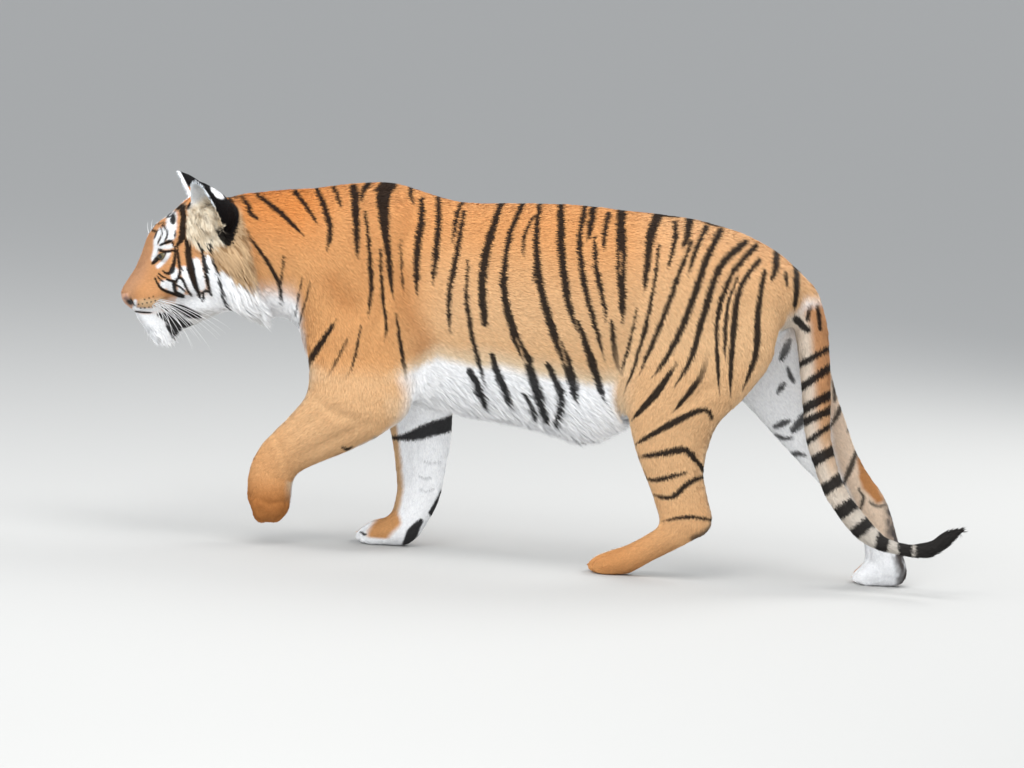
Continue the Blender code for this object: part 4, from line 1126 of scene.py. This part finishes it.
# ---- the skin as a piece ----
colours = paint(points, normals)
skin = solid("skin", points, triangles, (skin_stuff, leather_stuff))
colour_in(skin.data, colours)
local = to_head(points)
centres = points[triangles].mean(axis=1)
middle_local = to_head(centres)
is_nose = (leather_part(middle_local) > 0.5) & (head_depth(centres) > 0.0)
skin.data.polygons.foreach_set("material_index", is_nose.astype(np.int32))
bpy.context.view_layer.objects.active = skin
skin.select_set(True)
bpy.ops.object.mode_set(mode="EDIT")
bpy.ops.mesh.select_all(action="SELECT")
bpy.ops.uv.smart_project(angle_limit=math.radians(66.0), island_margin=0.002)
bpy.ops.object.mode_set(mode="OBJECT")
skin.data.uv_layers[0].name = "OFBake"
skin_uv = np.empty(len(skin.data.loops) * 2, np.float32)
skin.data.uv_layers[0].data.foreach_get("uv", skin_uv)
skin_uv = skin_uv.reshape(-1, 3, 2).astype(float)
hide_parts(*[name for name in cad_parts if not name.startswith("eye_")])


# ---- coat: fine tufts rooted in the skin ----
# Where hair lies which way on the trunk: place in the side view, then direction (x, z).
LIE = [(-0.65, 0.75, 1.0, -0.10), (-0.62, 0.62, 0.8, -0.6), (-0.58, 0.50, 0.35, -0.95),
       (-0.40, 0.80, 1.0, -0.1), (-0.42, 0.62, 0.75, -0.65), (-0.42, 0.48, 0.35, -0.95),
       (-0.15, 0.75, 1.0, -0.12), (-0.15, 0.55, 0.93, -0.35), (-0.15, 0.38, 0.9, -0.45),
       (0.10, 0.75, 1.0, -0.1), (0.10, 0.55, 0.95, -0.3), (0.10, 0.35, 0.85, -0.5),
       (0.32, 0.76, 0.9, -0.4), (0.33, 0.60, 0.55, -0.83), (0.33, 0.45, 0.2, -0.98),
       (0.50, 0.70, 0.75, -0.66), (0.52, 0.60, 0.3, -0.95)]
LIE_REACH = 0.11
# The same on the head: forward, outward, up, then direction.
HEAD_LIE = [(0.180, 0.010, 0.020, -0.70, 0.10, 0.50), (0.110, 0.030, 0.095, -0.70, 0.20, 0.60),
            (0.040, 0.030, 0.120, -1.00, 0.10, 0.10), (-0.050, 0.030, 0.125, -1.00, 0.10, -0.10),
            (0.120, 0.055, 0.010, -0.70, 0.45, -0.55), (0.170, 0.045, -0.040, -0.70, 0.45, -0.50),
            (0.060, 0.080, 0.000, -0.50, 0.40, -0.75), (0.020, 0.095, -0.030, -0.15, 0.30, -0.95),
            (-0.050, 0.090, 0.000, -0.15, 0.25, -0.95), (-0.050, 0.080, 0.070, -0.60, 0.30, -0.70),
            (0.050, 0.060, -0.120, -0.60, 0.10, -0.80), (0.170, 0.020, -0.130, -0.25, 0.10, -0.95),
            (-0.050, 0.030, -0.120, -0.70, 0.10, -0.60)]
HEAD_LIE_REACH = 0.036
TUFTS = 600000
LOCKS = 26000
ROOT_SINK = 0.0010        # how deep a tuft's root stands in the skin
PATCH_LENGTH = 0.0014     # half size of a tuft's patch in the bake map
PATCH_WIDTH = 0.0012


def lie_of(spots, facing):
    """The way the hair lies at places on the skin, along its surface."""
    way = np.zeros((len(spots), 3))
    for x, z, dx, dz in LIE:
        weight = np.exp(-((spots[:, 0] - x) ** 2 + (spots[:, 2] - z) ** 2) / (2.0 * LIE_REACH ** 2)) + 1e-9
        way += weight[:, None] * (dx, 0.0, dz)
    way = unit(way)
    for axis in [*LIMBS.values(), TAIL]:
        t, rel, heading, _ = along(spots, axis)
        inside = (1.0 - smooth(1.2, 1.5, rel)) * smooth(0.04, 0.2, t)
        way = unit(way + inside[:, None] * (heading - way))
    local = to_head(spots)
    headed = smooth(-0.02, 0.03, head_depth(spots))
    side = np.sign(local[:, 1])
    away = np.zeros((len(spots), 3))
    for f, half, u, df, ds, du in HEAD_LIE:
        gap = (local[:, 0] - f) ** 2 + (np.abs(local[:, 1]) - half) ** 2 + (local[:, 2] - u) ** 2
        weight = np.exp(-gap / (2.0 * HEAD_LIE_REACH ** 2)) + 1e-9
        lean = np.stack((np.full(len(spots), df), side * ds, np.full(len(spots), du)), axis=1)
        away += weight[:, None] * lean
    away = unit(away)
    for s in SIDES:
        place = ear_reach(local, s)
        eared = (1.0 - smooth(1.08, 1.25, sizes(place))) * smooth(-0.7, -0.4, place[:, 2])
        axes = ear_axes(s)
        inwards = smooth(0.0, 0.2, place[:, 0])[:, None]
        tipward = axes[:, 2] + inwards * (0.5 * axes[:, 0] + 0.5 * s * axes[:, 1])
        across = 0.50 * axes[:, 0] + 0.75 * s * axes[:, 1] - 0.10 * axes[:, 2]
        tipward = tipward + ear_mouth(local)[:, None] * (across - tipward)
        away = away + eared[:, None] * (tipward - away)
    way = unit(way + headed[:, None] * (away @ AXES - way))
    way = way + 0.16 * noise(spots, 0.035, 50)[:, None] * np.cross(facing, way)
    return unit(way - np.sum(way * facing, axis=1)[:, None] * facing)


lid_edge = np.full(len(points), 9.0)
for side in SIDES:
    edge, size, _ = lid_place(local, side)
    lid_edge = np.minimum(lid_edge, np.where(size < 0.034, edge, 9.0))
mouth_gap, _ = line_gap(np.stack((local[:, 0], np.abs(local[:, 1]), local[:, 2]), axis=1), MOUTH)
leathery = (leather_part(local) > 0.3) & (head_depth(points) > 0.0)
sole = (points[:, 2] < 0.006) & (normals[:, 2] < -0.5)
bare = leathery | sole | (lid_edge < 1.25)
length = hair * (0.25 + 0.75 * smooth(1.2, 2.6, lid_edge)) * (0.5 + 0.5 * smooth(0.002, 0.008, mouth_gap))
lie = lie_of(points, normals)
PIECES = ["coat_face", "coat_ruff"]
for part in ("neck", "shoulder", "flank", "haunch", "foreleg", "hindleg"):
    PIECES += [f"coat_{part}_left", f"coat_{part}_right"]
PIECES.append("coat_tail")


def piece_of(spots):
    """Which piece of the coat a place belongs to."""
    right = (spots[:, 1] > 0.0).astype(int)
    which = 2 + 2 * (np.digitize(spots[:, 0], (-0.50, -0.20, 0.14))) + right
    for index, axis in enumerate(LIMBS.values()):
        t, rel, _, _ = along(spots, axis)
        which = np.where((rel < 1.35) & (t > 0.22), 10 + index, which)
    t, rel, _, _ = along(spots, TAIL)
    which = np.where((rel < 1.4) & (t > 0.03), 14, which)
    headed = head_depth(spots) > 0.0
    return np.where(headed, np.where(to_head(spots)[:, 0] > 0.02, 0, 1), which)


corner_a, corner_b, corner_c = (points[triangles[:, k]] for k in range(3))
AREAS = 0.5 * sizes(np.cross(corner_b - corner_a, corner_c - corner_a))


def planted(density, total):
    """About this many random root places: the triangle of the skin and its corners' weights."""
    density = density * total / np.sum(AREAS * density[triangles].mean(axis=1))
    expected = AREAS * density[triangles].mean(axis=1)
    count = np.floor(expected + rng.random(len(expected))).astype(int)
    which = np.repeat(np.arange(len(triangles)), count)
    first = np.sqrt(rng.random(len(which)))
    second = rng.random(len(which))
    weights = np.stack((1.0 - first, first * (1.0 - second), first * second), axis=1)
    return which, weights


def carried(values, which, weights):
    """Values of the skin's vertices at root places."""
    return np.einsum("ij,ij...->i...", weights, values[triangles[which]])


def tufts(which, weights, reach, width, lift, mids, droop):
    """Leaf-shaped tufts that rise from the skin and bend back along it.

    mids holds, for each pair of side points, its place along the tuft, its height and its width.
    """
    count = len(which)
    root = carried(points, which, weights)
    facing = unit(carried(normals, which, weights))
    way = carried(lie, which, weights)
    way = way + 0.10 * rng.standard_normal((count, 3))
    way = unit(way - np.sum(way * facing, axis=1)[:, None] * facing)
    reach = reach * rng.uniform(0.75, 1.15, count)
    rise = reach * np.sin(lift * rng.uniform(0.5, 1.5, count))
    roll = rng.uniform(-0.34, 0.34, count)[:, None]
    across = unit(np.cross(facing, way) * np.cos(roll) + facing * np.sin(roll))
    rows = [root - facing * ROOT_SINK]
    for share, height, wide in mids:
        middle = root + way * (share * reach)[:, None] + facing * (height * rise)[:, None]
        middle[:, 2] -= droop * reach * share ** 2
        half = (0.5 * wide * width)[:, None]
        rows += [middle + across * half, middle - across * half]
    tip = root + way * reach[:, None] + facing * rise[:, None]
    tip[:, 2] -= droop * reach
    rows.append(tip)
    size = len(rows)
    spots = np.stack(rows, axis=1)
    spots[:, :, 2] = np.maximum(spots[:, :, 2], 0.0006)
    faces = [(0, 2, 1)]
    for k in range(len(mids) - 1):
        faces += [(1 + 2 * k, 2 + 2 * k, 4 + 2 * k), (1 + 2 * k, 4 + 2 * k, 3 + 2 * k)]
    faces.append((size - 3, size - 2, size - 1))
    faces = np.array(faces)
    colour = paint(root + 0.5 * way * reach[:, None], facing)
    colour = colour * rng.uniform(0.90, 1.09, count)[:, None]
    # painted shading along each tuft: darker at the root for the shade deep in the coat, a little lighter at
    # the tip
    painted_shading = np.concatenate(((0.80,), np.repeat(np.linspace(0.98, 1.02, len(mids)), 2), (1.06,)))
    colours = colour[:, None, :] * painted_shading[None, :, None]
    middle_uv = carried_uv(which, weights)
    patch = [(0.0, -PATCH_LENGTH)]
    patch += [(PATCH_WIDTH * sign, 0.0002 * k) for k in range(len(mids)) for sign in SIDES]
    patch.append((0.0, PATCH_LENGTH))
    uv = middle_uv[:, None, :] + np.array(patch)[None, :, :]
    return spots, faces, colours, uv, piece_of(root)


def carried_uv(which, weights):
    return np.einsum("ij,ijk->ik", weights, skin_uv[which])


# short tufts all over, then longer locks on ruff, chin, belly, ear edges and tail
SHORT_REACH = 0.024
short = np.minimum(length, SHORT_REACH)
wide = 0.0007 + 0.100 * short
density = np.where(bare, 0.0, 1.0) / (short * wide)
which, weights = planted(density, TUFTS)
fluff = np.clip((length - 0.017) / 0.02, 0.0, 1.0)
lift_field = 0.17 + 0.22 * fluff
batches = [tufts(which, weights, carried(short, which, weights), carried(wide, which, weights),
                 carried(lift_field, which, weights), [(0.38, 0.62, 1.0)], 0.0)]
shaggy = np.where(bare, 0.0, fluff)
which, weights = planted(shaggy, LOCKS)
reach = carried(length, which, weights)
batches.append(tufts(which, weights, reach, 0.0006 + 0.085 * reach,
                     carried(0.24 + 0.16 * fluff, which, weights),
                     [(0.30, 0.50, 1.0), (0.68, 0.86, 0.75)], 0.18))
for index, name in enumerate(PIECES):
    spots, faces, tints, marks = [], [], [], []
    start = 0
    for all_spots, shape, all_tints, uv, home in batches:
        here = np.nonzero(home == index)[0]
        size = all_spots.shape[1]
        spots.append(all_spots[here].reshape(-1, 3))
        tints.append(all_tints[here].reshape(-1, 3))
        faces.append((start + np.arange(len(here))[:, None, None] * size + shape[None]).reshape(-1, 3))
        marks.append(uv[here][:, shape].reshape(-1, 2))
        start += len(here) * size
    coat = solid(name, np.concatenate(spots), np.concatenate(faces), (hair_stuff,),
                 np.concatenate(marks))
    colour_in(coat.data, np.concatenate(tints))


# ---- eyes ----
def eye(side, node):
    """A ball with a slightly domed cornea, a dark amber-green iris that is partly painted shade from brow
    and lids, and a round pupil.
    """
    gaze, _, lift = eye_axes(side)
    middle = EYE * (1.0, side, 1.0)
    rings, spokes = 48, 64
    angles = np.pi * (np.arange(rings + 1) / rings) ** 1.25
    turns = 2.0 * np.pi * np.arange(spokes) / spokes
    outward = np.cross(lift, gaze)
    rows = [gaze[None, :]]
    for angle in angles[1:-1]:
        ring = np.cos(turns)[:, None] * outward + np.sin(turns)[:, None] * lift
        rows.append(math.cos(angle) * gaze + math.sin(angle) * ring)
    rows.append(-gaze[None, :])
    rays = np.concatenate(rows)
    tilt = np.arccos(np.clip(rays @ gaze, -1.0, 1.0))
    dome = 0.0009 * (1.0 - smooth(0.45, 0.85, tilt))
    spots = from_head(middle + rays * (EYE_RADIUS + dome)[:, None])
    faces = []
    for k in range(spokes):
        step = (k + 1) % spokes
        faces.append((0, 1 + k, 1 + step))
        faces.append((len(rays) - 1, 1 + (rings - 2) * spokes + step, 1 + (rings - 2) * spokes + k))
        for row in range(rings - 2):
            a = 1 + row * spokes
            faces.append((a + k, a + spokes + k, a + spokes + step))
            faces.append((a + k, a + spokes + step, a + step))
    faces = np.array(faces)
    corners = spots[faces]
    out = np.einsum("ij,ij->i", np.cross(corners[:, 1] - corners[:, 0], corners[:, 2] - corners[:, 0]),
                    corners.mean(axis=1) - from_head(middle))
    faces[out < 0.0] = faces[out < 0.0][:, ::-1]
    spin = np.arctan2(rays @ lift, rays @ outward)
    fibres = 0.5 + 0.5 * np.sin(spin * 23.0 + 3.0 * noise(rays, 0.2, 40)) * noise(rays, 0.1, 41)
    # the iris's amber-green painted dark: partly its own colour, partly painted shade from the brow and lids
    base = mix(tone(104, 94, 62), tone(74, 66, 40), 0.6 * fibres)
    base = mix(base, tone(70, 60, 38), smooth(0.58, 0.76, tilt))
    base = mix(base, tone(30, 26, 22), smooth(0.80, 0.86, tilt))
    base = mix(base, tone(6, 6, 8), 1.0 - smooth(0.275, 0.305, tilt))
    uv = np.stack((0.5 + 0.16 * tilt * np.cos(spin), 0.5 + 0.16 * tilt * np.sin(spin)), axis=1)
    made = solid(f"eyeball_{node}", spots, faces, (eye_stuff,), uv[faces].reshape(-1, 2))
    colour_in(made.data, base)
    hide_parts(node)


eye(1.0, "eye_left")
eye(-1.0, "eye_right")


# ---- whiskers ----
def tubes(name, routes, thickness, colour):
    """Tapering three-sided hairs as one piece."""
    spots = []
    faces = []
    for route in routes:
        route = np.asarray(route)
        count = len(route)
        start = len(spots)
        headings = unit(np.gradient(route, axis=0))
        sideways = unit(np.cross(headings, (0.31, 0.17, 0.93)))
        upward = np.cross(headings, sideways)
        for k in range(count):
            radius = 0.5 * thickness * (1.0 - 0.86 * k / (count - 1))
            for corner in range(3):
                angle = 2.0 * math.pi * corner / 3.0
                out = math.cos(angle) * sideways[k] + math.sin(angle) * upward[k]
                spots.append(route[k] + radius * out)
        for k in range(count - 1):
            for corner in range(3):
                step = (corner + 1) % 3
                a = start + 3 * k
                faces.append((a + corner, a + 3 + corner, a + 3 + step))
                faces.append((a + corner, a + 3 + step, a + step))
        end = start + 3 * (count - 1)
        faces.append((end, end + 2, end + 1))
        faces.append((start, start + 1, start + 2))
    spots = np.array(spots)
    faces = np.array(faces)
    uv = np.tile(((0.30, 0.30), (0.70, 0.30), (0.50, 0.70)), (len(faces), 1))
    made = solid(name, spots, faces[:, ::-1], (whisker_stuff,), uv)
    colour_in(made.data, np.tile(colour, (len(spots), 1)))


def whisker_routes(side):
    """Curving hairs from the whisker pad, backwards, outwards and down."""
    routes = []
    t = np.linspace(0.0, 1.0, 11)[:, None]
    for row in range(5):
        for k in range(5 - (row > 3)):
            share = row / 4.0
            root = np.array((0.180 - 0.0070 * k - 0.002 * row, side * (0.043 + 0.0012 * k),
                             -0.034 - 0.0020 * k - 0.0042 * row))
            long = (0.48 + 0.64 * k / 4.0) * rng.uniform(0.88, 1.10)
            down = share + rng.uniform(-0.10, 0.10)
            end = np.array((-0.108 + 0.135 * down, side * (0.075 - 0.030 * down), -0.120 + 0.006 * down))
            end *= long
            bulge = np.array((-0.030 + 0.012 * down, side * 0.016, 0.030 - 0.010 * down)) * long
            routes.append(from_head(root + end * t + bulge * t * (1.0 - t)))
    for k in range(2):
        root = np.array((0.094 - 0.006 * k, side * 0.050, 0.079 + 0.002 * k))
        t = np.linspace(0.0, 1.0, 7)[:, None]
        out = np.array((0.1 - 0.2 * k, side * 0.35, 0.85))
        back = np.array((-0.5, side * 0.15, -0.1))
        routes.append(from_head(root + out * 0.038 * t + back * 0.028 * t ** 2))
    return routes


tubes("whiskers", whisker_routes(1.0) + whisker_routes(-1.0), 0.0022, tone(244, 244, 244))

# ---- floor, light, camera ----
floor_mesh = bpy.data.meshes.new("floor")
FLOOR = 150.0
floor_mesh.from_pydata([(-FLOOR, -FLOOR, 0), (FLOOR, -FLOOR, 0), (FLOOR, FLOOR, 0), (-FLOOR, FLOOR, 0)], [],
                       [(0, 1, 2, 3)])
floor = fresh("floor", floor_mesh)
floor_stuff = bpy.data.materials.new("floor_paint")
floor_stuff.use_nodes = True
shader = floor_stuff.node_tree.nodes["Principled BSDF"]
shader.inputs["Base Color"].default_value = (0.47, 0.47, 0.46, 1.0)
shader.inputs["Roughness"].default_value = 0.85
floor.data.materials.append(floor_stuff)

world = bpy.data.worlds.new("studio")
bpy.context.scene.world = world
world.use_nodes = True
world.node_tree.nodes["Background"].inputs["Color"].default_value = (0.93, 0.96, 1.0, 1.0)
world.node_tree.nodes["Background"].inputs["Strength"].default_value = 0.80


def lamp(name, place, aim, size, power, colour):
    data = bpy.data.lights.new(name, "AREA")
    data.shape = "DISK"
    data.size = size
    data.energy = power
    data.color = colour
    made = bpy.data.objects.new(name, data)
    bpy.context.scene.collection.objects.link(made)
    way = Vector(place) - Vector(aim)
    made.matrix_world = Matrix.Translation(place) @ way.to_track_quat("Z", "Y").to_matrix().to_4x4()


lamp("key", (-1.2, -3.4, 3.9), (0.0, 0.0, 0.45), 2.2, 84.0, (1.0, 0.985, 0.96))
lamp("low", (0.3, -4.6, 0.8), (0.1, 0.0, 0.35), 3.0, 54.0, (1.0, 1.0, 1.0))
lamp("fill", (-4.0, -1.5, 2.2), (0.0, 0.0, 0.45), 3.0, 50.0, (0.95, 0.97, 1.0))
lamp("rim", (2.6, 3.2, 3.2), (0.0, 0.0, 0.45), 2.5, 120.0, (1.0, 0.99, 0.97))
lamp("top", (0.3, -0.6, 4.6), (0.0, 0.0, 0.5), 3.5, 120.0, (1.0, 1.0, 1.0))

camera_data = bpy.data.cameras.new("camera")
camera = bpy.data.objects.new("camera", camera_data)
bpy.context.scene.collection.objects.link(camera)
SENSOR = 36.0
FRAMED_WIDTH = 2.355
back = Vector(VIEW_BACK)
right = Vector(VIEW_RIGHT * math.cos(VIEW_ROLL) + VIEW_UP * math.sin(VIEW_ROLL))
turn = Matrix((right, back.cross(right), back)).transposed().to_4x4()
camera.matrix_world = Matrix.Translation(Vector(VIEW_AIM + SHIFT) + back * VIEW_GAP) @ turn
camera_data.sensor_width = SENSOR
camera_data.lens = SENSOR * VIEW_GAP / FRAMED_WIDTH
camera_data.clip_end = 2.0 * FLOOR
bpy.context.scene.camera = camera
bpy.context.scene.view_settings.view_transform = "Standard"
